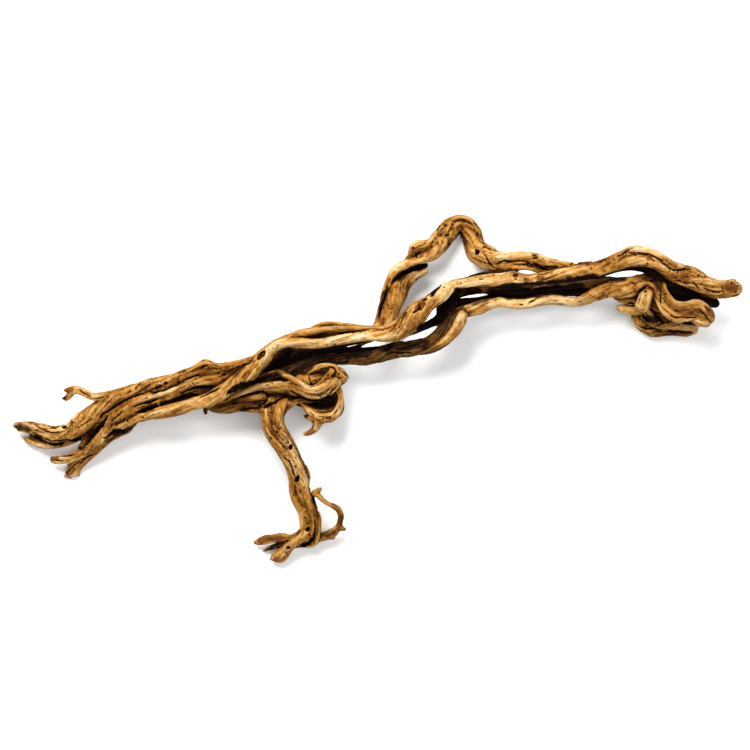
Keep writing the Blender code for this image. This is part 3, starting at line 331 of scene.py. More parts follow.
    "leg_right": [
        (290, 404.6, 46, 3.2), (284.6, 410, 47, 3), (281, 419, 47, 2.6), (281.4, 429, 47, 2.6),
        (284.6, 439, 46, 2.8), (290, 448.6, 44, 3), (297.4, 459.6, 42, 3.2), (305.2, 472, 38, 3.8),
        (305.8, 486, 35, 3.6), (308, 498, 32, 3.6), (314.2, 509, 29, 3.4),
    ],
    "leg_arm": [
        (283, 407.6, 46, 5), (291, 403.2, 47, 3.8), (300, 400.8, 47, 2.6), (309, 401.4, 47, 2),
        (317, 401.8, 46, 1.8),
    ],
    "toe_front": [
        (309, 529, 26, 5.6), (303, 536.4, 24, 5.6), (295.4, 541.8, 21, 5.4), (288.2, 548, 17, 5.7),
        (282.4, 554, 13, 5.9), (276, 558.2, 9.6, 5.2), (272, 559.6, 8, 2.6),
    ],
    "toe_front_edge": [(285, 553, 12, 4.6), (281.4, 559, 9, 4.7), (278.4, 561, 7, 3.1)],
    "toe_back": [
        (301, 534.4, 18, 4.8), (291, 538.6, 16, 3.6), (281, 538.4, 14, 4.2), (271, 539.6, 12, 4),
        (264, 541.2, 11, 4.1), (258, 542.8, 9, 3.1), (255.2, 543, 8, 2.2),
    ],
    "toe_back_ridge": [
        (283, 536.6, 16, 2.4), (274, 537.6, 15, 2.6), (265, 538, 13, 2.2), (259.6, 539.4, 11, 1.4),
    ],
    "toe_point": [
        (291, 544, 12, 3.4), (283, 544.6, 10, 3.3), (275.6, 546.8, 8, 3), (269, 549.6, 6, 2.2),
        (263, 552.4, 4, 1.3),
    ],
    "heel": [
        (317, 514.4, 28, 3), (318, 521, 27, 3.4), (317.4, 530, 23, 3.8), (315.4, 538.4, 18, 4.4),
        (312.4, 543.4, 14, 4.8), (305, 544.6, 11, 4), (297, 545.4, 10, 3.6), (291, 546.6, 12, 3.4),
    ],
    "loop_root": [
        (311, 538, 15, 5), (319, 538.2, 14, 4.4), (327, 536.8, 13, 4.8), (333.4, 533.4, 14, 4.9),
        (337.6, 528.6, 17, 3.9), (340, 523, 21, 2.8), (341.4, 517, 25, 2.9),
        (339.6, 510.4, 29, 2.9), (335.2, 507, 32, 2.8), (329, 504.2, 35, 2.5),
        (323, 500.2, 37, 2.6), (318.6, 495.6, 38, 2.8), (315, 493.4, 38, 2.9), (312, 497, 36, 2.4),
        (313.4, 502.6, 33, 2.4), (315.8, 508.4, 30, 1.6),
    ],
    "loop_tip": [(314.4, 493, 38, 2.8), (318.4, 490.2, 39, 2.4), (320.4, 489.4, 40, 2)],
    "loop_spur": [(339.6, 526, 19, 2.4), (342, 529, 19, 2.4), (344, 530, 19, 1.8)],
    "loop_bump": [(330.6, 535, 13, 3.8), (332.8, 538.2, 12, 2.2)],
    "loop_ridge": [
        (333, 506.2, 33, 1.8), (337.4, 511, 30, 1.8), (339.4, 517, 27, 1.8), (338.8, 522.6, 23, 2),
    ],
    # The right end: the tip of the front stem and the clump below it.
    "top_right_stem": [
        (592, 265.2, 56, 2.6), (606, 261, 58, 3.2), (619.6, 254.8, 59, 3.8), (632, 250.4, 60, 4.4),
        (645, 251, 60, 4.6), (655, 254.8, 59, 5), (664, 260, 57, 4.8), (672, 265, 56, 4.2),
        (680.4, 266.8, 55, 3.5), (686, 268.4, 54, 2.8),
    ],
    "tip_upper": [
        (680, 269, 50, 4), (691, 271.4, 51, 5.3), (699.6, 275.6, 51, 5.4), (708, 281.6, 50, 4.2),
        (718, 285, 49, 4.2), (728, 284.6, 48, 4), (732.8, 283, 47, 4.3),
    ],
    "tip_lower": [
        (688, 283, 44, 4), (697, 288, 43, 4), (706, 292.8, 43, 3.8), (716, 294.4, 43, 4),
        (726, 294.2, 43, 4), (734, 292.6, 43, 3.6),
    ],
    "tip_end": [(730, 287, 46, 6.6), (735.6, 288.4, 45, 5.2), (738.2, 289.2, 44, 3.6)],
    "cavity_back": [
        (656, 288, 36, 8), (670, 291, 31, 9.6), (686, 292, 30, 10), (701, 294, 32, 8),
        (709.6, 299.6, 34, 6.6), (714.8, 302.4, 35, 5.6),
    ],
    "clump_stem": [
        (632, 281.6, 49, 4.4), (643, 284.6, 53, 4), (652, 289.4, 55, 4.4), (658.6, 298, 56, 4.8),
        (664, 307.6, 56, 5.4), (672, 315.4, 55, 5.4), (682, 318, 54, 4.4), (692, 316.6, 53, 4.6),
        (701, 320.8, 51, 5.8), (706.6, 323.8, 49, 4.2),
    ],
    "clump_ridge": [
        (663, 283.6, 50, 2.6), (663.6, 291, 54, 3.6), (667.6, 299.4, 56, 4.6),
        (675, 305.6, 56, 4.8), (686, 306.6, 55, 4.6), (696, 304.6, 53, 5), (703.6, 308.6, 51, 5.4),
        (709, 315.2, 48, 5.5), (711.2, 318.6, 46, 4),
    ],
    "clump_middle": [
        (672, 311.6, 54, 4), (684, 312, 54, 4.2), (695, 311.6, 52, 4.6), (703, 316, 49, 5),
        (708, 320, 46, 4),
    ],
    "clump_groin": [
        (657, 279, 46, 4.4), (658.6, 287, 50, 4), (661, 296, 52, 4), (664, 303, 52, 3.6),
    ],
    "clump_body": [
        (648, 290, 40, 9), (657, 300, 38, 9.6), (668, 308, 36, 9), (682, 311, 36, 8),
        (697, 312, 37, 8),
    ],
    "knob": [
        (648.4, 291.6, 55, 3.6), (646.4, 295.4, 60, 6), (643.6, 300.6, 62, 7), (642, 305.2, 61, 7),
    ],
    "knob_hood": [
        (634.6, 289.4, 53, 2.6), (640, 286, 57, 3), (647.6, 284.8, 58, 2.8), (653.6, 289, 58, 2.8),
        (656.4, 295, 56, 3),
    ],
    "clump_stub": [
        (619.4, 307.4, 35, 2.6), (623.2, 309, 35, 4.8), (629.4, 309.8, 35, 5.4),
        (638, 309.6, 36, 5.4), (648, 307, 37, 6),
    ],
    "clump_low_rim": [
        (615.6, 297.4, 41, 2.2), (622, 299.6, 39, 3.4), (630, 300.6, 39, 4.2),
        (638, 299.6, 40, 5.2), (647, 297, 40, 6),
    ],
    "clump_base": [
        (640, 308, 30, 8), (640.4, 318, 22, 8.4), (648, 325, 13, 9.2), (660, 327.4, 7.8, 8.8),
        (673, 327.6, 6.8, 8), (686, 328.4, 7.6, 7.6), (694, 328, 10, 6.2),
    ],
    "clump_base_ridge": [
        (636.4, 317, 26, 4.6), (641.2, 324.8, 20, 4.4), (650, 331, 14, 4.2), (658, 333, 11, 3.6),
        (670, 331.4, 12, 3.6), (684, 332.4, 12, 3.4), (693, 331, 12, 3),
    ],
    "clump_base_top": [
        (644, 316, 34, 4), (652, 321.6, 30, 4.2), (662, 324.6, 26, 4), (674, 325.6, 23, 4),
        (687, 326, 21, 4), (696.6, 326.8, 19, 3.5),
    ],
    "clump_link": [(646, 311, 44, 3.4), (652, 316, 42, 3.4), (657, 321, 38, 3.4)],
    "clump_pillar": [(664, 306, 34, 8), (664, 315, 26, 8.4), (666, 323, 17, 8)],
    # Wood that closes the slits between neighbouring stems.
    "flange_back": [
        (104, 439, 24, 4), (114, 433.6, 28, 4.4), (124, 428.6, 32, 4.2), (132, 423, 36, 3.6),
    ],
    "upper_backing": [
        (290, 341, 55, 4), (304, 338.4, 54, 4.8), (320, 335.8, 53, 5), (338, 333.4, 52, 4.8),
        (356, 332.4, 52, 4.2), (374, 332, 53, 4),
    ],
    "rail_under": [
        (332, 345.4, 52, 2.6), (344, 344.2, 50, 3), (354, 342.6, 50, 3), (364, 340, 52, 2.6),
    ],
    "ring_floor": [(298, 402, 40, 4), (308, 404, 38, 5.4), (318, 406, 36, 7), (330, 405, 35, 7)],
    "arch_floor": [
        (398, 273, 18, 6), (408, 268.6, 17, 6.4), (418, 266, 17, 5.6), (425, 264.6, 18, 3.4),
    ],
    "arch_knuckle_floor": [(408, 260, 22, 4), (417, 254.6, 21, 5), (427, 251, 20, 6)],
    "arch_web": [
        (470, 278.4, 46, 3), (482, 275.4, 44, 3), (494, 273, 42, 2.6), (506, 272.8, 42, 2.6),
        (516, 272, 44, 2.4),
    ],
    "arch_fill": [
        (526, 262, 42, 3.4), (540, 266.2, 44, 3.4), (552, 268.4, 48, 3), (566, 269.6, 51, 3),
    ],
    "rail_under_right": [
        (592, 275, 50, 3), (604, 273.4, 50, 3), (616, 269.8, 50, 3), (628, 267.6, 51, 3.4),
        (641, 268, 51, 4), (651, 272, 50, 4.6), (661, 276, 49, 4.8), (673, 281, 48, 4.4),
    ],
    "clump_core": [(646, 304, 35, 7), (653, 312.4, 31, 7), (662, 318, 26, 7)],
    "clump_right_fill": [(680, 318.6, 36, 5), (691, 320.6, 34, 5), (699, 322.8, 37, 4.6)],
    # Stems on the underside, which keep the bundle's form as seen from below.
    "under_left": [
        (92, 430, 26, 6), (112, 420, 24, 7), (136, 411, 22, 7), (162, 403, 21, 6.6),
        (190, 396, 20, 7), (218, 392, 21, 7), (246, 390, 24, 7.4), (272, 388, 27, 7.6),
        (296, 384, 30, 7), (318, 378, 32, 7.4),
    ],
    "under_middle": [
        (104, 410, 28, 6.4), (128, 400, 25, 7), (154, 392.6, 23, 6.6), (182, 385, 23, 7),
        (210, 380, 24, 7), (238, 376, 25, 7.4), (264, 369, 25, 7.6), (290, 360, 24, 7.4),
        (316, 352.6, 26, 6.6), (342, 350, 30, 5.6),
    ],
    "under_right": [
        (150, 384, 36, 6), (176, 380.6, 36, 6), (204, 374, 37, 6.4), (230, 371, 38, 7),
        (252, 366, 40, 7), (270, 358.6, 43, 7), (284, 350, 46, 6), (300, 344.4, 50, 4.8),
        (320, 344, 54, 4.6),
    ],
}

# Finer forms: splinters at the broken ends, and wood behind and between the stems.
DETAILS = {
    "slit_floor": [(30, 434.5, 8, 2.4), (38, 439.5, 11, 3), (48, 442.6, 14, 3), (60, 442, 19, 3.2)],
    "tip_tooth": [(12.6, 424.4, 15, 1), (16, 424.8, 15, 2), (22, 426, 16, 3)],
    "tip_tooth_low": [(16, 430.6, 12, 0.9), (20, 429.6, 13, 2), (26, 429.6, 14, 3)],
    "tip_tooth_side": [(23, 432.4, 11, 0.9), (28, 431.4, 13, 2), (34, 431.6, 15, 3)],
    "stub_floor": [(91, 435.6, 20, 2.2), (97, 429, 25, 3)],
    "root_tooth": [(22.4, 438, 6, 0.9), (26, 440.4, 7, 1.6), (31, 442, 8, 3)],
    "prong_tooth": [(49, 458, 13, 0.9), (52.6, 458.4, 14, 1.6), (58, 459, 15, 2.4)],
    "prong_tooth_low": [(49.2, 461.4, 12, 0.9), (53, 462, 13, 1.5), (58, 461.4, 14, 2.2)],
    "prong_tooth_end": [(53.4, 463.6, 12, 0.8), (57, 462, 13, 1.6)],
    "fork_tooth": [(63, 476.6, 2.4, 1), (65.6, 473.6, 3.4, 1.8), (69, 470, 4, 2.6)],
    "fork_tooth_end": [(68.6, 478.4, 2.2, 1.2), (70, 475, 3.4, 2.4), (72, 471, 4, 3)],
    "fork_tooth_side": [(76.4, 475.4, 3, 1.2), (76, 472, 4.4, 2)],
    "twig_tooth": [(63.2, 398.2, 49, 0.9), (66, 398, 49.5, 1.6), (69, 396, 50, 2.2)],
    "twig_tooth_low": [(67, 400, 49, 0.8), (68.6, 397, 50, 1.6)],
    "twig_tooth_side": [(72.6, 396.4, 50, 0.8), (71.6, 393.6, 50.6, 1.6)],
    "prong_bud": [(65, 390.6, 53, 0.9), (68, 389.6, 52.6, 1.6)],
    "prong_bud_top": [(74, 386.4, 52, 0.9), (75.4, 388.6, 52, 1.8)],
    "lip_plate": [(262, 386.8, 51, 4), (274, 387.2, 52, 5), (286, 388.4, 53.6, 5.4), (297, 391.4, 54, 4.6)],
    "lip_edge": [(268, 391, 50, 2), (276, 393.4, 50, 2.5), (284, 395.2, 49, 2.5), (291, 394, 50, 2)],
    "knot_fill": [(300, 380.4, 50, 5), (310, 380, 53.5, 5), (320, 378.6, 54.6, 5), (329, 375, 54, 5)],
    "knot_brow": [(311, 372.8, 51, 3), (320, 368.4, 53, 3.4), (330, 368, 54, 3.4)],
    "ring_wall": [(311, 411, 42, 4.4), (321, 415.6, 43, 5.8), (331, 415, 43, 5.8), (337.6, 408, 42, 4.6),
                  (339.4, 399, 42, 3.4)],
    "ring_inner": [(313, 401, 41, 1.6), (322, 398, 41, 1.8), (331, 395.6, 42, 1.8), (334.6, 400, 42, 1.6),
                   (331, 406, 41, 1.6)],
    "ring_strand": [(316, 399, 40, 1.3), (322, 403, 39.5, 1.6), (329, 404, 40, 1.5), (334, 401, 41, 1.1)],
    "ring_lump": [(322, 400.4, 41, 1.8), (327, 398.4, 42, 2.3), (332, 399.4, 41.5, 1.5)],
    "recess_fibre": [(258, 378, 48, 1.8), (270, 372.4, 49, 1.7), (282, 371, 51, 1.5), (289, 374.4, 54, 1.2)],
    "recess_thread": [(272, 366, 44, 1.2), (284, 361, 45, 1.3), (293, 357, 45, 1)],
    "recess_splint": [(286, 360, 44, 0.9), (290, 353, 47, 1.1), (294, 346, 52, 1.2)],
    "leg_collar": [(283, 400, 48, 5.4), (279, 408, 52, 6.4), (276.4, 417, 53, 7.4), (277, 426, 53, 7.6),
                   (281, 434, 53, 6)],
    "tip_knob": [(726, 284.6, 47, 3.6), (731, 282.6, 48, 3.6), (734.4, 284.6, 47, 3.4)],
    "toe_tooth": [(270.4, 560.4, 6, 1.4), (274, 557.4, 8.6, 2.4), (278, 554.4, 10, 3)],
    "toe_tooth_end": [(279.6, 562.4, 5, 1.4), (281, 558.4, 7.6, 2.6)],
    "toe_tooth_left": [(254.6, 543.2, 7, 1), (260, 542.6, 8.4, 2)],
    "loop_thorn": [(320.8, 488.2, 38, 1), (318.6, 490.8, 38, 1.8)],
    "loop_thorn_low": [(345, 529.4, 21, 1), (341, 528, 22, 1.8)],
}
ROUTES.update(DETAILS)

# How dark a stem is painted: 0 is clean tan wood, 1 nearly black, in the hollows.
# The dark is partly the wood's own and partly painted shade in the hollows, slits and behind other stems.
DARK = {
    "dark_bundle": 1.0, "back_stem": 1.0, "web": 0.9, "web_fold": 0.8, "mid_stem_low": 0.95,
    "mid_stem": 0.4, "cross_stem": 0.5, "brown_stem": 0.6, "grey_stem": 0.3, "low_rail": 0.5,
    "rail_backing": 0.7, "recess_stem": 0.45, "cavity_back": 1.0, "clump_core": 0.8, "ring_floor": 1.0,
    "ring_back": 0.6, "knot_core": 0.8, "slit_floor": 1.0, "stub_floor": 1.0, "lip_edge": 0.3,
    "recess_fibre": 0.5, "recess_thread": 0.7, "recess_splint": 0.6, "ring_inner": 0.75,
    "ring_strand": 0.5, "ring_lump": 0.35, "arch_floor": 1.0, "arch_knuckle_floor": 0.9, "arch_fill": 0.8,
    "arch_web": 0.7, "flange_back": 0.7, "rail_under": 0.7, "rail_under_right": 1.0, "upper_backing": 0.6,
    "belly": 0.35,
}

# Knot holes and pits: (x, y, height of the centre, half length, half width, half depth, turn in degrees).
HOLES = (
    (262, 355, 70, 6.5, 3.2, 7, 50),
    (420.5, 305.5, 72, 8.4, 4, 7, 50),
    (413, 269, 31, 8, 2.6, 8, 12),
    (477.5, 252, 34, 2.6, 2.6, 8, 0),
    (297, 479.5, 46, 4.4, 2.2, 6, 75),
    (307.4, 530, 31, 2.8, 2.2, 6, 0),
    (291, 447, 56, 3, 2, 5, 60),
    (288, 548.5, 23, 2.4, 1.8, 5, 0),
    (64, 427.4, 35, 2.6, 1.8, 5, 0),
)

# Marks on the top of the wood, drawn on the sheet as rows of (x, y, half width).
# Cracks, gaps and pits, by how deep they are cut; a row of one point is a pit.
CRACKS = {
    4.0: (
        ((31, 433, .8), (36, 436, 1.8), (42, 439, 1.6), (50, 441.3, 1), (58, 440.8, .8), (66, 440.2, 1.2),
         (74, 440, 1.5), (80, 439, 1.3)),
        ((108, 415.5, .8), (105, 420, 1.5), (101, 426, 1.8), (96, 432, 1.6), (90, 439, 1.2),
         (86, 445, 1)),
        ((103, 438.5, .5), (107, 436.5, .8), (112, 433.5, 1.8), (117, 431, 2.4), (124, 430, 2)),
        ((100, 417, .5), (104, 413, .8), (109, 411, .8), (113, 408, .9), (117, 405, .9), (123, 401.5, .9),
         (130, 398, .9), (137, 395.5, .9), (144, 393.2, .6)),
        ((150, 392, .7), (156, 392.3, 1), (162, 391, 1.2), (168, 388.5, 1), (173, 387, .9),
         (178, 385, .9), (184, 381, .8), (191, 377.5, .7), (199, 375, .6)),
        ((158, 399, 1), (152, 401.5, .9), (146, 402.7, .9), (140, 404.5, .8), (134, 406.5, .6)),
        ((135, 412.7, .7), (141, 412, 1.4), (147, 410, 1.4), (153, 408, 1.7), (158, 405.5, 1.5)),
        ((161, 404, .8), (167, 401.5, .9), (175, 399.5, 1.2), (182, 397.5, 1.6), (190, 396, 1.8),
         (197, 394.5, 1.6)),
        ((201, 397, .7), (205, 395.5, .8), (210, 393, .9), (216, 390, 1), (220, 388, 1)),
        ((181, 393.5, .5), (187, 390.5, .8), (193, 388.3, 1.2), (199, 386.5, 1.8), (205, 385.8, 1.6),
         (210, 386.5, .7)),
        ((227, 395, .8), (230, 391.5, 1.5), (234, 389, 2.2), (240, 386.5, 2.6), (245, 384, 3)),
        ((231, 399.5, .7), (237, 398.3, .8), (243, 396.3, .9), (250, 394.5, .9), (257, 392, 1.2),
         (263, 390.6, .9)),
        ((291, 391, .9), (297, 394, 1), (302, 397, .9), (308, 399.5, .9), (316, 400, .9),
         (322, 398.5, .9), (328, 395.5, 1), (332, 391, .9), (337, 386.5, .8)),
        ((264, 408, 1.2), (269, 405.5, 1.8), (274, 402.6, 1.8), (278, 400, 1), (283, 398, .8),
         (290, 396.3, .8)),
        ((284, 457, .4), (289, 461, .6), (291.5, 465, .7), (293, 470, .7), (294.5, 475, .9)),
        ((315, 520, .6), (315.2, 527, .6), (314.6, 533, .7), (314, 537, .9), (312.5, 540, 1.3),
         (309, 543, 1.3), (305, 545, 1.2), (301, 546.5, 1)),
        ((387, 285, 1), (387, 291, 1.1), (385.5, 297, .9), (382.5, 303, .8), (380.5, 310, .9),
         (379.4, 317, .8)),
        ((392, 283, 1), (396, 278, 1.6), (402, 274, 2), (409, 271, 2.5), (416, 268, 3), (422, 267, 3)),
        ((632, 304.3, 1.8), (628, 303.6, 1.2)), ((643, 315, 1.2), (645, 318, 1.6), (649, 321.5, 1)),
        ((653, 314, 1.2), (657, 317.5, 1.7), (661, 320.8, 1.7), (665, 322.3, 1)),
        ((679, 324, .7), (685, 322.7, 1.2), (690, 322.6, 1.2), (695, 325, .7)),
        ((570, 265, .9), (573, 263, 1.2), (577, 263, 1), (582, 263.6, .7)),
        ((533, 263, 1), (537, 265, 1.2), (541, 268, 1.4), (546, 269, 1)),
        ((461.5, 232, 1), (462.5, 235, .9)),
    ),
    2.5: (
        ((340, 333.5, 1.1), (346, 333, 1.1), (352, 332.3, 1.1), (358, 331.5, .8), (365, 330.8, .6)),
        ((617, 256.5, .5), (622, 255, .6), (625, 252, .7), (628, 249.5, .6)),
        ((628, 253.6, .5), (636, 253, .6), (642, 254, .6), (647, 254, .6), (652, 256.5, .7),
         (658, 260, .8), (663, 264, .9), (668, 268, 1), (674, 270.5, 1), (680, 270.5, .9),
         (685, 268.4, 1.1)),
        ((704, 288, .6), (709, 290.5, .8), (713, 292, .9), (718, 292.5, .9), (722, 291, .6)),
        ((636, 295, .5), (640, 290, .8), (644, 287, .9), (647.5, 286, 1), (651, 288.5, .7),
         (653, 291, .5)), ((651.6, 300, .9), (651.8, 306, .7)),
        ((659.5, 295, .9), (660, 301, .9), (661, 304, .8)),
        ((650.5, 282, .5), (654, 278.8, .8), (658, 276, .9)),
        ((643, 327.5, .5), (648, 328.7, .7), (653, 328, .7), (658, 325.5, .6), (663, 323.5, .5)),
        ((670, 331.5, .5), (678, 331.5, .9), (686, 332, .9), (693, 332.3, .7)),
        ((670, 316, .6), (675, 318, .7), (680, 317.5, .7), (688, 318, .7), (695, 317.5, 1)),
        ((705, 306, .6), (708, 310, .9), (709.5, 313, .7)),
        ((699, 309.5, .7), (703, 313, .7), (706, 318, .6), (709, 321, .7)),
        ((502, 261, .8), (505, 260.3, .7), (508, 261.5, .8), (514, 261.3, .8), (520, 261, .8),
         (526, 261.5, .9), (530, 264, 1), (532, 267, .9)),
        ((514, 264, .5), (520, 265, .7), (526, 264.5, .7), (530, 267.3, .8)),
        ((597, 262.5, .8), (601, 261.5, .9), (604, 260.3, .8), (608, 258.5, .7)),
        ((585, 263.6, .7), (588, 264, .8)),
        ((565, 296.5, .5), (572, 297, .8), (578, 296, .8), (584, 292.5, .9), (590, 289.5, .8)),
        ((528, 304, .5), (532, 301, .8), (536, 299.5, .5)),
        ((484, 254, .5), (487, 258, .6), (490, 263, .7), (493, 267, .6)),
        ((320, 372.4, 1.7), (317, 372.6, 1.5), (314, 373.4, .9), (310, 374.4, .6)),
        ((329, 366.5, .5), (333, 367.3, .8), (335.5, 369.5, .9), (336, 372, .6)),
        ((309, 378, .6), (310, 382, .8), (312, 386, .6)), ((344, 362.3, 1), (348, 361.7, 1)),
        ((386.5, 354.3, 1.3), (390.5, 352.6, 1)), ((391, 352, .6), (400, 353, .7), (410, 352.3, .5)),
        ((413.6, 312.6, 1.2), (416, 311, 1.4)), ((422.6, 300.8, 1.2), (425, 299, 1.4)),
        ((311, 494, .7), (312.5, 498, .9), (314, 503, .8), (316, 508, .7)),
        ((286, 542.3, .8), (288.5, 541.5, .6)),
        ((399, 328, .4), (401, 323, .5), (404, 317, .6), (407, 313, .5)),
        ((431.5, 296, 1.2), (435, 291, 1.1), (439, 286.6, .7)),
        ((254, 403.3, .7), (258, 404.5, .8), (264, 403.5, .7), (268, 401, .5)),
        ((240, 411, .8), (245, 408.6, .9), (251, 408.4, .8), (257, 409.6, .5)),
        ((310, 412, .4), (314, 416, .5)),
        ((32, 423.5, .4), (37, 427, .5), (42, 430, .6), (47, 432, .9), (51, 433, .8), (58, 432, .4)),
        ((78, 428, .4), (84, 424, .5), (92, 419, .5)),
        ((80, 460, .5), (85, 458, .8), (92, 455, .6), (96, 453, .4)),
        ((64, 474, .6), (68, 470, .6), (72, 466, .5), (78, 462, .4)),
        ((53, 460.7, .5), (57, 461.2, .6), (62, 461.5, .4)),
        ((59, 456.4, .5), (65, 456.8, .6), (72, 455, .5)),
        ((80, 389.5, .6), (82, 392, .7), (86, 394, .6), (91, 396.5, .5)),
        ((91, 398.5, .5), (97, 399, .6), (103, 397, .7)),
        ((112, 421, .4), (118, 416, .5), (122, 412, .4)),
        ((115, 425.5, .4), (120, 423, .5), (125, 421, .4)),
        ((243, 365.6, .7), (248, 364.5, .7), (252, 362.5, .8), (255, 360.3, .6)),
        ((136, 388, .4), (139, 384.6, .8), (143, 382.8, .5)),
        ((200, 368, .5), (204, 366.5, .9), (208, 365.4, .4)),
    ),
    3.0: (
        ((62, 427.6, 1.1), (64.6, 426.8, 1.1)), ((51, 428, .6), (55, 428.5, .7)),
        ((27.6, 423.4, .6), (30, 423.2, .7)), ((222.6, 375.2, .9), (225.4, 374.8, .9)),
        ((203.4, 360.6, .8),), ((232.6, 403.3, 1), (236.6, 402.5, 1)), ((127.6, 421, 1),),
        ((134.4, 424, .9),), ((141.6, 417.5, .6), (143.4, 418, .6)), ((157, 388, 1.3), (160, 386.6, 1.3)),
        ((165.6, 383.6, 1.2), (167.6, 382.6, .9)), ((266, 393.6, .9), (267.8, 396.4, 1.1)),
        ((292, 398, .9), (295, 398.4, .7)), ((326.6, 417.8, 1.1), (330, 417.2, 1)),
        ((333.6, 414, 1), (337, 411, 1)), ((334.5, 419.3, .6),),
        ((290.2, 445.6, 1.1), (292.2, 448.6, 1.3)), ((288.8, 441.8, .9),), ((295.8, 457.8, .9),),
        ((298.6, 455.6, .6), (300.6, 458.6, .7)), ((295.3, 466.3, .7),), ((302.8, 464.5, .6),),
        ((304.5, 469.2, .6),), ((305.4, 473, .6),), ((302.3, 479.4, .6),), ((304.5, 488, .6),),
        ((293.6, 495, .7),), ((316.2, 515.4, .9),), ((288.3, 548, 1.2),), ((298, 543.6, .7),),
        ((309.4, 535.4, .8),), ((285.6, 553.6, .8),), ((278.6, 556, .6),), ((277.4, 432, .8),),
        ((271.4, 438, .9),), ((434, 301.6, .7),), ((429.8, 307.8, .6),), ((444, 287.4, .7),),
        ((413, 248, 1.4),), ((416.6, 254, 1.2), (416.8, 256.4, 1)),
        ((431.6, 242.6, .9), (433, 241.2, .8)), ((446, 235, .9), (449, 233.6, .8)),
        ((452, 229, .8), (454, 227, .7)), ((437.6, 229, .6), (440.4, 225, .7)),
        ((477.4, 235, .9), (478, 232, .6)), ((483.4, 247.2, .9),), ((490.6, 248.6, .6),),
        ((499.4, 262.6, 1), (501.4, 261.6, .8)), ((494.4, 267.5, .8),),
        ((513.8, 276, 1.1), (516.6, 276.3, 1.1)), ((514.6, 279.5, .7), (516, 279.6, .6)),
        ((461, 284, .8),), ((479, 279.5, .5), (482, 279.3, .5)), ((524, 279.2, .9), (526, 279, .8)),
        ((524.6, 283, .9), (527.6, 283.4, .9)), ((532, 283.3, .8),), ((537.2, 277, .9),),
        ((542.4, 278.6, .9),), ((539.4, 279.6, .6),), ((537, 281.6, .6),),
        ((532.6, 254.6, 1), (535.6, 255.3, .9)), ((533.6, 258, 1), (536.6, 258.2, .7)),
        ((520.6, 304.7, .7), (522.6, 304.7, .7)), ((604, 296.6, .9),), ((606.6, 296.2, .8),),
        ((645.8, 255.2, .9),), ((643, 257, .7),), ((648.2, 257.4, .8),), ((650.4, 258.4, .8),),
        ((652.8, 260.6, 1.1),), ((646, 263.4, .8),), ((669, 271, .6),), ((676.4, 272.6, .7),),
        ((674, 277.6, .6), (676, 277.7, .6)), ((676.6, 280.6, .7), (680, 280.3, .9)), ((683, 271.8, .7),),
        ((682.6, 278, .9),), ((686, 277, .9),), ((684, 282.4, .9),), ((693, 283, .7), (698, 288, .7)),
        ((697.6, 275.5, .7),), ((723, 292, .9),), ((722, 288.6, .8),), ((726, 286.6, .6),),
        ((735, 292, .7),), ((731, 282.4, .8),), ((737.6, 286, .7),), ((713, 303.5, .9),),
        ((671, 320, .8),), ((695, 317.6, 1),), ((650, 333.4, .7),), ((657, 335.4, .7),),
        ((643.6, 292.6, .9), (645.4, 291.6, .7)), ((346.4, 356.5, .7),), ((401.8, 353.6, .8),),
        ((418.6, 309, 1),),
    ),
}
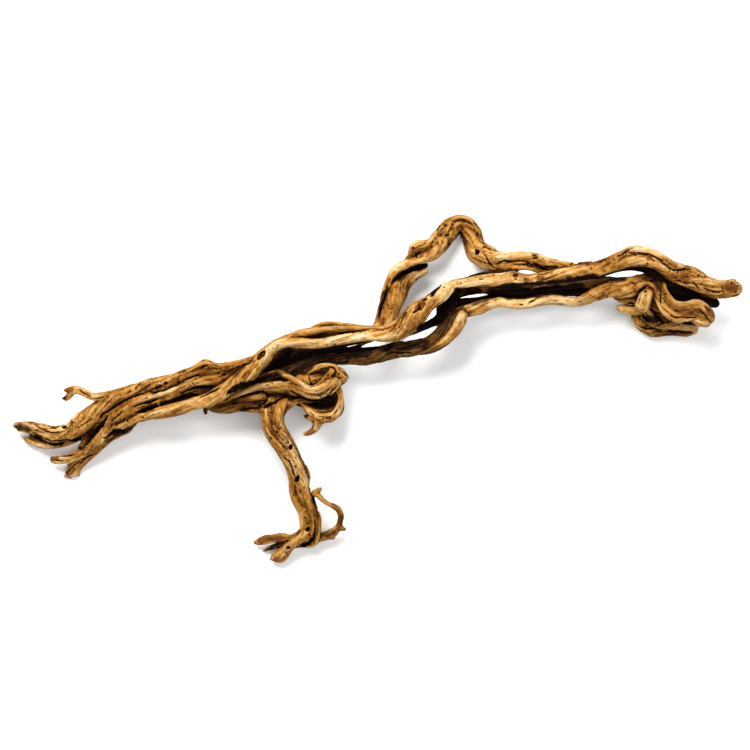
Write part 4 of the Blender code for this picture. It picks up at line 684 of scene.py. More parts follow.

# Patches of dark, rusty and pale wood: how strong, then the row of points.
# The dark patches are partly dark wood, partly painted shade in hollows and under stems;
# the pale ones are partly paler wood, partly painted highlight on the lit tops of stems.
DARK_AND_SHADE_PATCHES = (
    (.6, ((14, 427, 3), (22, 428, 3.5), (30, 431, 2))), (.8, ((72, 441, 2.5), (80, 438, 2.5))),
    (.95, ((79, 448.6, 2.4),)), (.5, ((104, 419, 1.5), (97, 430, 2.5), (90, 438, 2.5), (85, 445, 2.5))),
    (.5, ((50, 460, 1.8),)), (.4, ((66, 475, 2),)), (.6, ((65, 398, 2.4),)),
    (.5, ((68, 391, 2), (72, 393, 2))), (.5, ((104, 442, 2), (112, 438, 2))),
    (.9, ((112, 433, 2.5), (123, 430, 3))),
    (.75, ((160, 403, 3), (170, 401, 2.5), (180, 399, 2.5), (190, 396, 3), (200, 395, 2.5))),
    (.4, ((205, 392, 3), (215, 390, 2))), (.7, ((140, 411, 2.5), (150, 407, 3), (158, 404, 2.5))),
    (1, ((228, 394, 1.2), (236, 389.5, 2), (244, 386, 2.6), (254, 382, 3))),
    (.75, ((256, 382, 3), (268, 377, 4), (280, 374, 4))),
    (.8, ((286, 370, 4), (300, 367, 5), (314, 363, 4))),
    (1, ((268, 370, 4), (278, 361, 8), (290, 355, 9), (305, 353, 8), (320, 351, 6), (335, 350, 5.5),
     (350, 349, 5), (365, 348, 4), (380, 346, 4), (395, 343, 3))),
    (.9, ((262, 391, 2), (250, 394, 1.5), (240, 397, 1))),
    (.6, ((268, 396, 3), (278, 395, 3), (290, 394, 3))), (.9, ((265, 406, 3), (272, 404, 3))),
    (.65, ((240, 410, 2.5), (250, 409, 2.5))),
    (.9, ((312, 404, 3), (319, 405, 4.5), (328, 406, 3), (336, 398, 2.5))),
    (.4, ((335, 412, 3), (341, 405, 2))), (.5, ((313, 421, 2), (312, 429, 2))), (.7, ((306, 416, 2.5),)),
    (1, ((458, 290, 5), (449, 300, 8), (443, 312, 8), (430, 322, 4), (418, 329, 4))),
    (.6, ((451, 316, 3.5), (446, 326, 5), (438, 334, 5))),
    (.75, ((428, 342, 5), (412, 346, 4.5), (396, 347, 4.5), (382, 349, 5))),
    (.85, ((370, 352, 5), (350, 355, 4.5), (330, 357, 4), (312, 361, 4))),
    (.35, ((370, 358, 5), (345, 359, 5))),
    (.55, ((452, 309, 4), (462, 305, 3), (478, 302, 2.5), (490, 300, 2))),
    (1, ((463, 294, 5), (480, 295, 5), (500, 293, 4.5), (530, 292, 4.5), (560, 289.5, 4), (585, 285, 3))),
    (.9, ((500, 286, 2), (520, 285, 2), (545, 283.5, 2), (600, 277, 4), (625, 279, 3))),
    (.7, ((205, 410.5, 2), (205, 414, 2))),
    (.7, ((385, 290, 2.5), (383, 300, 2), (380, 310, 2), (379, 318, 1.5))),
    (.95, ((395, 280, 3), (404, 273, 5), (414, 269, 6), (422, 268, 4))),
    (.35, ((404, 289, 3), (412, 283, 3))), (.35, ((446, 232, 5),)), (.4, ((438, 230, 3),)),
    (.4, ((449, 246, 3), (452, 238, 3))), (.5, ((463, 236, 3), (466, 245, 3))), (.4, ((478, 234, 3),)),
    (1, ((672, 290, 5), (682, 291, 8), (692, 294, 7), (700, 298, 4))),
    (1, ((640, 270.5, 2), (650, 272, 3), (658, 276, 3), (664, 282, 3))),
    (.75, ((704, 302, 5), (714, 302, 5))), (1, ((632, 304, 3),)),
    (.9, ((645, 317, 3), (652, 320, 3), (660, 320, 4))), (.9, ((684, 324, 2), (692, 324, 2))),
    (.35, ((723, 289, 4), (731, 288, 5), (738, 288, 4))), (.8, ((313, 498, 3), (314.5, 505, 2.5))),
    (.55, ((323, 536, 5), (334, 533, 4.5))), (.3, ((318, 490, 2),)), (.4, ((341, 515, 3), (341, 525, 3))),
    (.65, ((265, 551, 2), (273, 547, 3), (280, 544, 3))),
    (1, ((300, 547, 2), (308, 543, 2.5), (313, 538, 2))),
    (.9, ((431, 296.5, 2), (436, 290, 1.8), (441, 285.6, 1.2))),
)
RUSTS = (
    (1, ((158, 387, 3.5),)), (.9, ((166, 383, 2.8),)), (.8, ((150, 392, 2), (158, 392, 2.5))),
    (.7, ((277, 432, 3),)), (.8, ((258, 542, 4), (270, 539, 4), (282, 538, 4))), (.9, ((381, 320, 2.6),)),
    (.6, ((422, 304, 3),)), (.6, ((535, 256, 4),)), (.8, ((573, 263.5, 3), (587, 264, 3), (602, 261, 3))),
    (.7, ((648, 257.5, 4),)), (.8, ((684, 278, 5),)), (.6, ((515, 277, 3),)), (.6, ((540, 279, 5),)),
    (.6, ((526, 281, 4),)), (.7, ((728, 286, 5), (736, 290, 4))), (.7, ((708, 308, 4), (712, 318, 3))),
    (.6, ((705, 302, 6),)), (.5, ((18, 427, 4),)), (.5, ((450, 390, 1),)),
    (.6, ((347, 332.6, 3), (360, 331, 2))), (.5, ((414, 250, 5),)), (.5, ((64, 398, 4), (67, 390, 4))),
    (.5, ((250, 404, 8), (236, 404, 6))), (.8, ((66, 398, 3.5), (67, 391, 3), (74, 388, 2.5))),
    (.7, ((24, 434, 3), (31, 438, 2.5))), (.8, ((50, 457, 3), (57, 458, 2.5))),
    (.8, ((65, 475, 4), (71, 470, 3))), (.7, ((273, 561, 4), (279, 558, 3.5))),
    (.7, ((306, 434, 3), (312, 431, 3), (304, 416, 3))),
    (.6, ((320, 491, 3), (326, 499, 2.5), (336, 507, 3), (341, 517, 3), (340, 527, 3), (333, 534, 4))),
)
PALE_AND_HIGHLIGHT_PATCHES = (
    (.5, ((318, 370, 5), (330, 376, 7), (340, 377, 4))),
    (.9, ((285, 376, 2.5), (300, 384, 3.5), (312, 391, 4.5), (325, 390, 4.5), (333, 381, 4))),
    (.8, ((240, 394, 2.5), (260, 386, 3.5), (275, 386, 4.5), (290, 388, 4))),
    (.8, ((262, 365, 5), (275, 347, 6), (300, 341, 5), (330, 341, 5), (360, 336, 5), (390, 337, 6))),
    (.7, ((300, 334, 3), (340, 327, 3), (380, 328, 3), (400, 320, 3))),
    (.6, ((405, 325, 6), (420, 316, 5))),
    (1, ((440, 300, 5), (448, 290, 6), (465, 283, 4), (490, 280, 4), (508, 275, 4))),
    (1, ((500, 256, 4),)), (.7, ((545, 270, 4), (575, 269, 4), (600, 267, 4))),
    (.7, ((612, 260, 4), (632, 257, 5), (645, 262, 5))), (1, ((680, 266, 3),)),
    (.6, ((640, 249, 4), (660, 254, 4))), (.4, ((700, 276, 5), (718, 285, 4))),
    (.9, ((436, 344, 2), (448, 335, 3), (457, 322, 4), (462, 315, 3.5))),
    (1, ((281, 437, 3.5), (286, 446, 4))),
    (.8, ((288, 450, 4), (294, 462, 5), (302, 478, 5), (305, 495, 5), (304, 510, 4), (304, 525, 4))),
    (.9, ((646, 297, 4.5),)), (.6, ((668, 300, 3), (680, 306, 4))),
    (.8, ((655, 303, 2.5), (664, 311, 3), (680, 313, 3))),
    (.6, ((190, 404, 3), (210, 400, 4), (222, 392, 4), (235, 379, 3))),
    (.6, ((150, 396, 3), (130, 400, 3))), (.7, ((230, 368, 4), (210, 376, 3), (190, 384, 3))),
    (.7, ((306, 407, 1.5), (320, 415, 2.5), (335, 412, 2), (341, 402, 1.5))),
    (.6, ((392, 270, 3), (404, 262, 3), (425, 256, 3))),
    (.5, ((60, 432, 4), (85, 418, 5), (105, 404, 4))), (.5, ((70, 462, 3), (90, 450, 3), (104, 432, 3))),
    (.5, ((470, 308, 3), (500, 303, 3), (560, 302, 3), (600, 291, 4))),
    (.5, ((620, 286, 5), (640, 285, 3))),
)

# Stems with a broken end in the open: 0 the start of the route, 1 its end.
BROKEN = {
    "top_root": (0,), "second_root": (0,), "second_root_prong": (0,), "stub_root": (0,),
    "twig": (0,), "twig_prong": (0,), "fork": (0,), "fork_prong": (0,), "fork_heel": (0,), "hook": (1,),
    "toe_front": (1,),
}

# The distance field, in millimetres.
CELL = 1.0
GRID_LOW = np.array((-374.0, -185.0, -7.0))
GRID_HIGH = np.array((374.0, 185.0, 84.0))
BAND = 5.0
FAR = 30.0
SAMPLE_STEP = 1.2
BLEND = 2.6
FACES = 197000

# Shallow flutes that wind round each stem: their depth is a share of its half thickness.
FLUTES = 3
FLUTE_DEPTH = 0.07
FLUTE_TWIST = 0.045
GRAIN_TWIST = 0.028

# Lumps, ridges and strands: widths across the grain and lengths along it, in millimetres.
LUMP_SIZE = 14.0
SMALL_LUMP_SIZE = 6.0
RIDGE_SIZE = np.array((5.6, 5.6, 70.0))
STRAND_SIZE = np.array((2.6, 2.6, 40.0))
CRACK_SIZE = np.array((8.0, 8.0, 80.0))
CRACK_PATCH_SIZE = 24.0
CRACK_DEPTH = 1.4
RAGGED_DEPTH = 4.0
RAGGED_SIZE = 1.4

# How the rows of marks become wobbling, tapering cuts and patches, in millimetres.
MARK_STEP = 0.6
MARK_WOBBLE = 0.7
WOBBLE_SIZE = 4.0
TAPER_LENGTH = 5.0
THINNEST_CUT = 0.75
HOLE_LUMP_SIZE = 2.6

# How far round a point its hollows are felt, and how wide the crease between two stems is.
# Both set the painted shade that darkens the hollows and creases.
NEAR_REACH = 2.5
FAR_REACH = 4.5
CREASE_WIDTH = 2.2
OPEN_NEAR = 0.42
OPEN_FAR = 0.24


def on_sheet(x, y, height):
    """A point of the sheet in the branch's own frame, in millimetres."""
    return np.array((x - SHEET_ORIGIN[0], SHEET_ORIGIN[1] - y, height))


def curve_points(points, places):
    """Points of the smooth curve through a route; the fourth number is the half thickness."""
    table = np.array(points, dtype=float)
    last = len(table) - 1
    start = np.minimum(places.astype(int), last - 1)
    t = (places - start)[:, None]
    a = table[np.maximum(start - 1, 0)]
    b = table[start]
    c = table[start + 1]
    d = table[np.minimum(start + 2, last)]
    return b + 0.5 * t * (c - a + t * (2 * a - 5 * b + 4 * c - d + t * (3 * (b - c) + d - a)))


def sample_routes():
    """Samples of all routes: centre, radius, along, across, up, distance, number, whole length."""
    rows = []
    for number, points in enumerate(ROUTES.values()):
        fine = curve_points(points, np.linspace(0, len(points) - 1, 16 * (len(points) - 1) + 1))
        steps = np.linalg.norm(np.diff(fine[:, :3], axis=0), axis=1)
        gone = np.concatenate(([0.0], np.cumsum(steps)))
        places = np.linspace(0, gone[-1], max(3, int(gone[-1] / SAMPLE_STEP)))
        values = np.stack([np.interp(places, gone, fine[:, k]) for k in range(4)], axis=1)
        centres = values[:, :3] * (1, -1, 1) + (-SHEET_ORIGIN[0], SHEET_ORIGIN[1], 0)
        along = np.gradient(centres, axis=0)
        along /= np.linalg.norm(along, axis=1)[:, None]
        across = np.stack((-along[:, 1], along[:, 0], np.zeros(len(along))), axis=1)
        across /= np.linalg.norm(across, axis=1)[:, None]
        up = np.cross(along, across)
        count = np.full((len(values), 1), number)
        length = np.full((len(values), 1), places[-1])
        rows.append(np.hstack((centres, values[:, 3:], along, across, up, places[:, None], count, length)))
    return np.vstack(rows)


def grid_axes():
    return [np.arange(low, high, CELL) for low, high in zip(GRID_LOW, GRID_HIGH)]


def fill_field(samples):
    """The distances to the nearest and second nearest stem, and the nearest sample's number."""
    axes = grid_axes()
    shape = tuple(len(axis) for axis in axes)
    nearest = np.full(shape, FAR, dtype=np.float32)
    second = np.full(shape, FAR, dtype=np.float32)
    owner = np.full(shape, -1, dtype=np.int32)
    for number in range(len(ROUTES)):
        chosen = np.flatnonzero(samples[:, 14] == number)
        reach = samples[chosen, 3].max() + BAND
        low = np.floor((samples[chosen, :3].min(axis=0) - reach - GRID_LOW) / CELL).astype(int)
        high = np.ceil((samples[chosen, :3].max(axis=0) + reach - GRID_LOW) / CELL).astype(int) + 1
        low = np.maximum(low, 0)
        high = np.minimum(high, shape)
        block = np.full(tuple(high - low), FAR, dtype=np.float32)
        block_owner = np.full(tuple(high - low), -1, dtype=np.int32)
        for index in chosen:
            stamp(samples[index], index, low, high, axes, block, block_owner)
        part = tuple(slice(a, b) for a, b in zip(low, high))
        closer = block < nearest[part]
        second[part] = np.minimum(second[part], np.maximum(nearest[part], block))
        owner[part] = np.where(closer, block_owner, owner[part])
        nearest[part] = np.minimum(nearest[part], block)
    return nearest, second, owner


def stamp(sample, index, low, high, axes, block, block_owner):
    """Press one ball of a stem into the block of the field round that stem."""
    reach = sample[3] + BAND
    first = np.maximum(np.floor((sample[:3] - reach - GRID_LOW) / CELL).astype(int), low)
    after = np.minimum(np.ceil((sample[:3] + reach - GRID_LOW) / CELL).astype(int) + 1, high)
    x, y, z = (axes[k][first[k]:after[k]] - sample[k] for k in range(3))
    square = (x * x)[:, None, None] + (y * y)[None, :, None] + (z * z)[None, None, :]
    distance = (np.sqrt(square) - sample[3]).astype(np.float32)
    part = tuple(slice(a, b) for a, b in zip(first - low, after - low))
    closer = distance < block[part]
    np.copyto(block[part], distance, where=closer)
    np.copyto(block_owner[part], np.int32(index), where=closer)


GRADIENTS = np.array([
    (1, 1, 0), (-1, 1, 0), (1, -1, 0), (-1, -1, 0), (1, 0, 1), (-1, 0, 1), (1, 0, -1), (-1, 0, -1),
    (0, 1, 1), (0, -1, 1), (0, 1, -1), (0, -1, -1), (1, 1, 0), (0, -1, 1), (-1, 1, 0), (0, -1, -1),
], dtype=np.float32)


def gradient_noise(points, seed):
    """Smooth noise, about -1 to 1, at an array of points."""
    base = np.floor(points)
    part = (points - base).astype(np.float32)
    base = base.astype(np.int64)
    ease = part * part * part * (part * (part * 6 - 15) + 10)
    total = np.zeros(len(points), dtype=np.float32)
    for corner in range(8):
        bits = np.array((corner & 1, corner >> 1 & 1, corner >> 2 & 1))
        spot = base + bits
        code = spot[:, 0] * 374761393 + spot[:, 1] * 668265263 + spot[:, 2] * 2147483647 + seed * 1274126177
        code = (code ^ (code >> 13)) * 1274126177
        code = (code ^ (code >> 16)) & 15
        slope = (GRADIENTS[code] * (part - bits)).sum(axis=1)
        weight = np.where(bits, ease, 1 - ease).prod(axis=1)
        total += slope * weight
    return total


def stem_places(points, owner, samples):
    """Where points lie on their stems: across, up, along (mm), radius and number."""
    row = samples[owner]
    offset = points - row[:, :3]
    ahead = (offset * row[:, 4:7]).sum(axis=1)
    a = (offset * row[:, 7:10]).sum(axis=1)
    b = (offset * row[:, 10:13]).sum(axis=1)
    return a, b, row[:, 13] + ahead, row[:, 3], row[:, 14]


def grain_coordinates(a, b, s, number):
    """Coordinates that wind with the grain, moved apart for each stem."""
    turn = GRAIN_TWIST * s
    u = a * np.cos(turn) - b * np.sin(turn)
    v = a * np.sin(turn) + b * np.cos(turn)
    return np.stack((u + number * 37.0, v + number * 19.0, s + number * 53.0), axis=1)


def relief(points, owner, samples):
    """How far the wood stands out at points near the surface, in millimetres, its tone and its cracks."""
    a, b, s, radius, number = stem_places(points, owner, samples)
    grain = grain_coordinates(a, b, s, number)
    angle = np.arctan2(b, a)
    size = np.clip(radius / 8.0, 0.3, 1.1)
    flute = radius * FLUTE_DEPTH * np.cos(FLUTES * angle + 1.7 * number + FLUTE_TWIST * s)
    lumps = 0.9 * gradient_noise(points / LUMP_SIZE, 3) + 0.45 * gradient_noise(points / SMALL_LUMP_SIZE, 5)
    broad = gradient_noise(grain / RIDGE_SIZE, 7)
    narrow = gradient_noise(grain / STRAND_SIZE, 11)
    ridge = np.minimum(np.abs(broad) * 2.4, 1.0) ** 0.7
    strand = np.minimum(np.abs(narrow) * 2.4, 1.0) ** 0.8
    crack_line = np.abs(gradient_noise(grain / CRACK_SIZE, 13))
    crack_spots = gradient_noise(points / CRACK_PATCH_SIZE, 17)
    crack = np.clip(1 - crack_line / 0.04, 0, 1) * np.clip(crack_spots * 4 + 0.1, 0, 1)
    height = flute + size * (1.15 * (ridge - 0.62) + 0.5 * (strand - 0.6) + lumps - CRACK_DEPTH * crack)
    # Paler on the raised ridges and strands: partly wear, partly painted highlight.
    tone = 0.55 * ridge + 0.45 * strand
    return height, tone, crack


def broken_ends(points, owner, samples):
    """How far points lie beyond the ragged ends of the broken stems, in millimetres."""
    a, b, s, radius, number = stem_places(points, owner, samples)
    places = np.stack((a / RAGGED_SIZE, b / RAGGED_SIZE, number * 7.3), axis=1)
    ragged = RAGGED_DEPTH * gradient_noise(places, 23)
    beyond = np.full(len(points), -FAR)
    for name, ends in BROKEN.items():
        mine = number == list(ROUTES).index(name)
        for end in ends:
            past = s - samples[owner, 15] if end else -s
            beyond = np.where(mine, np.maximum(beyond, past - 0.5 * radius - ragged), beyond)
    return beyond


def carve(nearest, second, owner, samples):
    """Blend the stems, add the relief, break the ends, cut the holes and cracks and plane the underside."""
    gap = np.maximum(BLEND - np.abs(second - nearest), 0) / BLEND
    field = nearest - gap * gap * BLEND * 0.25
    near = np.flatnonzero(np.abs(field).ravel() < BAND - 1.0)
    axes = grid_axes()
    ix, iy, iz = np.unravel_index(near, field.shape)
    points = np.stack((axes[0][ix], axes[1][iy], axes[2][iz]), axis=1)
    whose = owner.ravel()[near]
    flat = field.ravel()
    flat[near] -= relief(points, whose, samples)[0].astype(np.float32)
    flat[near] = np.maximum(flat[near], broken_ends(points, whose, samples))
    field = flat.reshape(field.shape)
    for hole in HOLES:
        cut_hole(field, hole, axes)
    cracks = place_marks([(depth, row) for depth, rows in CRACKS.items() for row in rows], field)
    for depth, spots in cracks:
        for x, y, z, width in spots:
            half = max(width, THINNEST_CUT)
            cut_egg(field, axes, (x, y, z), (half, half, depth))
    floor = (-axes[2]).astype(np.float32)[None, None, :]
    return np.maximum(field, floor), cracks


def place_marks(marks, field):
    """Marks traced on the sheet, laid on the top of the wood: rows of (x, y, height, half width)."""
    inside = field < 0
    top = inside.shape[2] - 1 - inside[:, :, ::-1].argmax(axis=2)
    top = np.where(inside.any(axis=2), GRID_LOW[2] + (top + 0.5) * CELL, np.nan)
    placed = []
    for value, row in marks:
        row = np.array(row, dtype=float)
        if len(row) > 1:
            steps = np.linalg.norm(np.diff(row[:, :2], axis=0), axis=1)
            gone = np.concatenate(([0.0], np.cumsum(steps)))
            places = np.linspace(0, gone[-1], int(gone[-1] / MARK_STEP) + 2)
            row = np.stack([np.interp(places, gone, row[:, k]) for k in range(3)], axis=1)
            if len(places) > 8:
                to_end = np.minimum(places, gone[-1] - places)
                row[:, 2] *= np.clip(0.35 + to_end / TAPER_LENGTH, 0, 1)
            spot = np.stack((row[:, 0], row[:, 1], np.full(len(row), 2.0)), axis=1) / WOBBLE_SIZE
            row[:, 0] += MARK_WOBBLE * gradient_noise(spot, 41)
            row[:, 1] += MARK_WOBBLE * gradient_noise(spot, 43)
            row[:, 2] *= 1 + 0.7 * gradient_noise(spot * 2.0, 47)
        x = row[:, 0] - SHEET_ORIGIN[0]
        y = SHEET_ORIGIN[1] - row[:, 1]
        column = [np.round((v - low) / CELL).astype(int) for v, low in zip((x, y), GRID_LOW)]
        spots = np.stack((x, y, top[column[0], column[1]], row[:, 2]), axis=1)
        placed.append((value, spots[~np.isnan(spots[:, 2])]))
    return placed


def cut_egg(field, axes, centre, half):
    """Take an upright egg out of the field."""
    part = []
    for k in range(3):
        low = int((centre[k] - half[k] - 2 - GRID_LOW[k]) / CELL)
        part.append(slice(max(low, 0), low + int((2 * half[k] + 4) / CELL) + 2))
    x, y, z = (((axes[k][part[k]] - centre[k]) / half[k]) ** 2 for k in range(3))
    size = np.sqrt(x[:, None, None] + y[None, :, None] + z[None, None, :])
    part = tuple(part)
    field[part] = np.maximum(field[part], (1 - size) * half[0])


def paint_marks(points, placed, depth, soft):
    """How strongly each point is marked, 0 to 1, with an edge from sharp (0.2) to soft (1)."""
    result = np.zeros(len(points))
    for strength, spots in placed:
        if not len(spots):
            continue
        reach = spots[:, 3].max() * (1 + soft)
        near = np.flatnonzero(
            (points[:, 0] > spots[:, 0].min() - reach) & (points[:, 0] < spots[:, 0].max() + reach)
            & (points[:, 1] > spots[:, 1].min() - reach) & (points[:, 1] < spots[:, 1].max() + reach))
        offset = points[near][:, None, :] - spots[None, :, :3]
        across = np.hypot(offset[:, :, 0], offset[:, :, 1]) / spots[None, :, 3]
        size = np.hypot(across, offset[:, :, 2] / depth).min(axis=1) if len(near) else np.zeros(0)
        size = size + 0.5 * gradient_noise(points[near] / (1.0 + spots[:, 3].mean()), 53)
        amount = np.clip((1 + soft - size) / (2 * soft), 0, 1)
        result[near] = np.maximum(result[near], strength * amount * amount * (3 - 2 * amount))
    return result


def cut_hole(field, hole, axes):
    """Take an egg-shaped hole out of the field."""
    centre = on_sheet(*hole[:3])
    half = np.array(hole[3:6], dtype=float)
    reach = half.max() + 3
    part = []
    for k in range(3):
        inside = np.flatnonzero(np.abs(axes[k] - centre[k]) < reach)
        part.append(slice(inside[0], inside[-1] + 1))
    x, y, z = (axes[k][part[k]] - centre[k] for k in range(3))
    turn = math.radians(hole[6])
    x, y = np.meshgrid(x, y, indexing="ij")
    long = (x * math.cos(turn) + y * math.sin(turn))[:, :, None]
    wide = (y * math.cos(turn) - x * math.sin(turn))[:, :, None]
    size = np.sqrt((long / half[0]) ** 2 + (wide / half[1]) ** 2 + (z[None, None, :] / half[2]) ** 2)
    places = np.stack(np.meshgrid(*(axes[k][part[k]] for k in range(3)), indexing="ij"), axis=-1)
    uneven = gradient_noise(places.reshape(-1, 3) / HOLE_LUMP_SIZE, 31).reshape(size.shape)
    egg = (size - 1 + 0.45 * uneven) * half[:2].min()
    part = tuple(part)
    field[part] = np.maximum(field[part], -egg)


CORNERS = [(i, j, k) for i in (0, 1) for j in (0, 1) for k in (0, 1)]


def surface(field):
    """A closed surface of quads through the field's zero level: one point for each cell it crosses."""
    inside = field < 0
    nx, ny, nz = inside.shape
    solid = inside.view(np.uint8)
    count = np.zeros((nx - 1, ny - 1, nz - 1), dtype=np.uint8)
    for i, j, k in CORNERS:
        count += solid[i:nx - 1 + i, j:ny - 1 + j, k:nz - 1 + k]
    active = (count > 0) & (count < 8)
    cells = np.flatnonzero(active)
    numbers = np.full(active.size, -1, dtype=np.int32)
    numbers[cells] = np.arange(len(cells), dtype=np.int32)
    numbers = numbers.reshape(active.shape)
    spots = np.stack(np.unravel_index(cells, active.shape), axis=1)
    values = [field[spots[:, 0] + i, spots[:, 1] + j, spots[:, 2] + k] for i, j, k in CORNERS]
    total = np.zeros((len(cells), 3))
    crossings = np.zeros(len(cells))
    for first, a in enumerate(CORNERS):
        for other, b in enumerate(CORNERS):
            if other <= first or sum(abs(p - q) for p, q in zip(a, b)) != 1:
                continue
            va, vb = values[first], values[other]
            crossed = (va < 0) != (vb < 0)
            t = np.where(crossed, va / np.where(crossed, va - vb, 1), 0)
            place = np.array(a) + t[:, None] * (np.array(b) - np.array(a))
            total += place * crossed[:, None]
            crossings += crossed
    points = GRID_LOW + (spots + total / crossings[:, None]) * CELL
    quads = []
    for axis in range(3):
        quads.append(axis_quads(inside, numbers, axis))
    return points, np.vstack(quads)


def axis_quads(inside, numbers, axis):
    """The quads round the grid edges along one axis that the surface crosses."""
    u, v = [k for k in range(3) if k != axis]
    low = [slice(1, -1)] * 3
    high = [slice(1, -1)] * 3
    low[axis] = slice(0, -1)
    high[axis] = slice(1, None)
    start = inside[tuple(low)]
    end = inside[tuple(high)]
    spots = np.stack(np.nonzero(start != end), axis=1)
    offset = np.ones(3, dtype=int)
    offset[axis] = 0
    spots = spots + offset
    leaving = inside[tuple(spots.T)]
    ring = []
    for du, dv in ((0, 0), (-1, 0), (-1, -1), (0, -1)):
        cell = spots.copy()
        cell[:, u] += du
        cell[:, v] += dv
        ring.append(numbers[tuple(cell.T)])
    quad = np.stack(ring, axis=1)
    flip = leaving if axis != 1 else ~leaving
    quad[~flip] = quad[~flip][:, ::-1]
    return quad


def largest_island(points, quads):
    """Only the largest connected surface: no scraps and no sealed hollows."""
    label = np.arange(len(points))
    edges = np.vstack((quads[:, [0, 1]], quads[:, [1, 2]], quads[:, [2, 3]]))
    while True:
        least = np.minimum(label[edges[:, 0]], label[edges[:, 1]])
        before = label.copy()
        np.minimum.at(label, edges[:, 0], least)
        np.minimum.at(label, edges[:, 1], least)
        label = label[label]
        label = label[label]
        if (label == before).all():
            break
    names, counts = np.unique(label, return_counts=True)
    keep = label == names[counts.argmax()]
    renumber = np.cumsum(keep) - 1
    return points[keep], renumber[quads[keep[quads[:, 0]]]]


def make_mesh(name, points, faces):
    mesh = bpy.data.meshes.new(name)
    mesh.vertices.add(len(points))
    mesh.vertices.foreach_set("co", (points * MM).astype(np.float32).ravel())
    mesh.loops.add(faces.size)
    mesh.loops.foreach_set("vertex_index", faces.astype(np.int32).ravel())
    mesh.polygons.add(len(faces))
    mesh.polygons.foreach_set("loop_start", np.arange(0, faces.size, faces.shape[1], dtype=np.int32))
    mesh.update(calc_edges=True)
    mesh.validate()
    return mesh


def fewer_faces(mesh, faces):
    """The same mesh with no more than a number of triangles."""
    item = bpy.data.objects.new("branch_wood", mesh)
    bpy.context.scene.collection.objects.link(item)
    modifier = item.modifiers.new("fewer", "DECIMATE")
    modifier.ratio = min(1.0, faces / (2 * len(mesh.polygons)))
    modifier.use_collapse_triangulate = True
    evaluated = item.evaluated_get(bpy.context.evaluated_depsgraph_get())
    result = bpy.data.meshes.new_from_object(evaluated)
    item.modifiers.clear()
    item.data = result
    return item


def box_mean(values, half):
    """The mean over a box round each cell."""
    result = values
    for axis in range(3):
        pads = [(0, 0)] * 3
        pads[axis] = (half + 1, half)
        total = np.cumsum(np.pad(result, pads), axis=axis, dtype=np.float64)
        size = result.shape[axis]
        upper = np.take(total, np.arange(2 * half + 1, 2 * half + 1 + size), axis=axis)
        lower = np.take(total, np.arange(0, size), axis=axis)
        result = ((upper - lower) / (2 * half + 1)).astype(np.float32)
    return result


def lookup(volume, points, scale=1):
    """The volume's value in the cell nearest to each point."""
    spots = np.round((points - GRID_LOW) / (CELL * scale) - 0.5 * (scale - 1) / scale).astype(int)
    spots = np.clip(spots, 0, np.array(volume.shape) - 1)
    return volume[tuple(spots.T)]


def hollow_depth(field, points):
    """How deep in a hollow points lie, from 0 in the open to 1, for near and far surroundings."""
    solid = (field < 0).astype(np.float32)
    near = lookup(box_mean(solid, max(1, round(NEAR_REACH / CELL))), points)
    shape = [size // 2 * 2 for size in solid.shape]
    coarse = solid[:shape[0], :shape[1], :shape[2]]
    coarse = coarse.reshape(shape[0] // 2, 2, shape[1] // 2, 2, shape[2] // 2, 2).mean(axis=(1, 3, 5))
    far = lookup(box_mean(coarse, max(1, round(FAR_REACH / CELL))), points, 2)
    return near, far


def add_attribute(mesh, name, kind, values):
    attribute = mesh.attributes.new(name, kind, "POINT")
    key = "vector" if kind == "FLOAT_VECTOR" else "value"
    attribute.data.foreach_set(key, np.ascontiguousarray(values, dtype=np.float32).ravel())


def build_branch():
    samples = sample_routes()
    nearest, second, owner = fill_field(samples)
    field, cracks = carve(nearest, second, owner, samples)
    points, quads = largest_island(*surface(field))
    item = fewer_faces(make_mesh("branch_wood", points, quads), FACES)
    mesh = item.data
    places = np.empty(len(mesh.vertices) * 3, dtype=np.float32)
    mesh.vertices.foreach_get("co", places)
    places = places.reshape(-1, 3).astype(float) / MM
    whose = lookup(owner, places)
    whose = np.where(whose < 0, 0, whose)
    a, b, s, radius, number = stem_places(places, whose, samples)
    add_attribute(mesh, "grain", "FLOAT_VECTOR", grain_coordinates(a, b, s, number))
    # The ridge tone is paler on the raised ridges: partly wear, partly painted highlight.
    tone, crack = relief(places, whose, samples)[1:]
    # Painted shade: the hollow and crease values darken the colour deep in the hollows and between the stems.
    near, far = hollow_depth(field, places)
    crease = np.clip(1 - (lookup(second, places) - lookup(nearest, places)) / CREASE_WIDTH, 0, 1)
    # Dark stems and dark patches: partly dark wood, partly painted shade in the hollows and slits.
    darkness = np.array([DARK.get(name, 0.0) for name in ROUTES])[number.astype(int)]
    thin = np.clip(1.3 - radius / 4.0, 0, 1)
    near = np.maximum(near, OPEN_NEAR)
    far = np.maximum(far, OPEN_FAR)
    add_attribute(mesh, "thin", "FLOAT", thin)
    add_attribute(mesh, "ridge", "FLOAT", tone)
    add_attribute(mesh, "crack", "FLOAT", crack)
    add_attribute(mesh, "crease", "FLOAT", crease)
    add_attribute(mesh, "near_hollow_shade", "FLOAT", near)
    add_attribute(mesh, "far_hollow_shade", "FLOAT", far)
    shades = paint_marks(places, place_marks(DARK_AND_SHADE_PATCHES, field), 9.0, 0.7)
    add_attribute(mesh, "dark_wood_and_shade", "FLOAT", np.maximum(darkness, shades))
    add_attribute(mesh, "rust", "FLOAT", paint_marks(places, place_marks(RUSTS, field), 8.0, 0.8))
    # Pale patches: partly paler wood, partly painted highlight on the lit tops of the stems.
    add_attribute(mesh, "pale", "FLOAT", paint_marks(places, place_marks(PALE_AND_HIGHLIGHT_PATCHES, field), 7.0, 0.9))
    marks = [(1.0, spots) for depth, spots in cracks]
    add_attribute(mesh, "mark", "FLOAT", paint_marks(places, marks, 4.5, 0.3))
    mesh.shade_smooth()
    return item


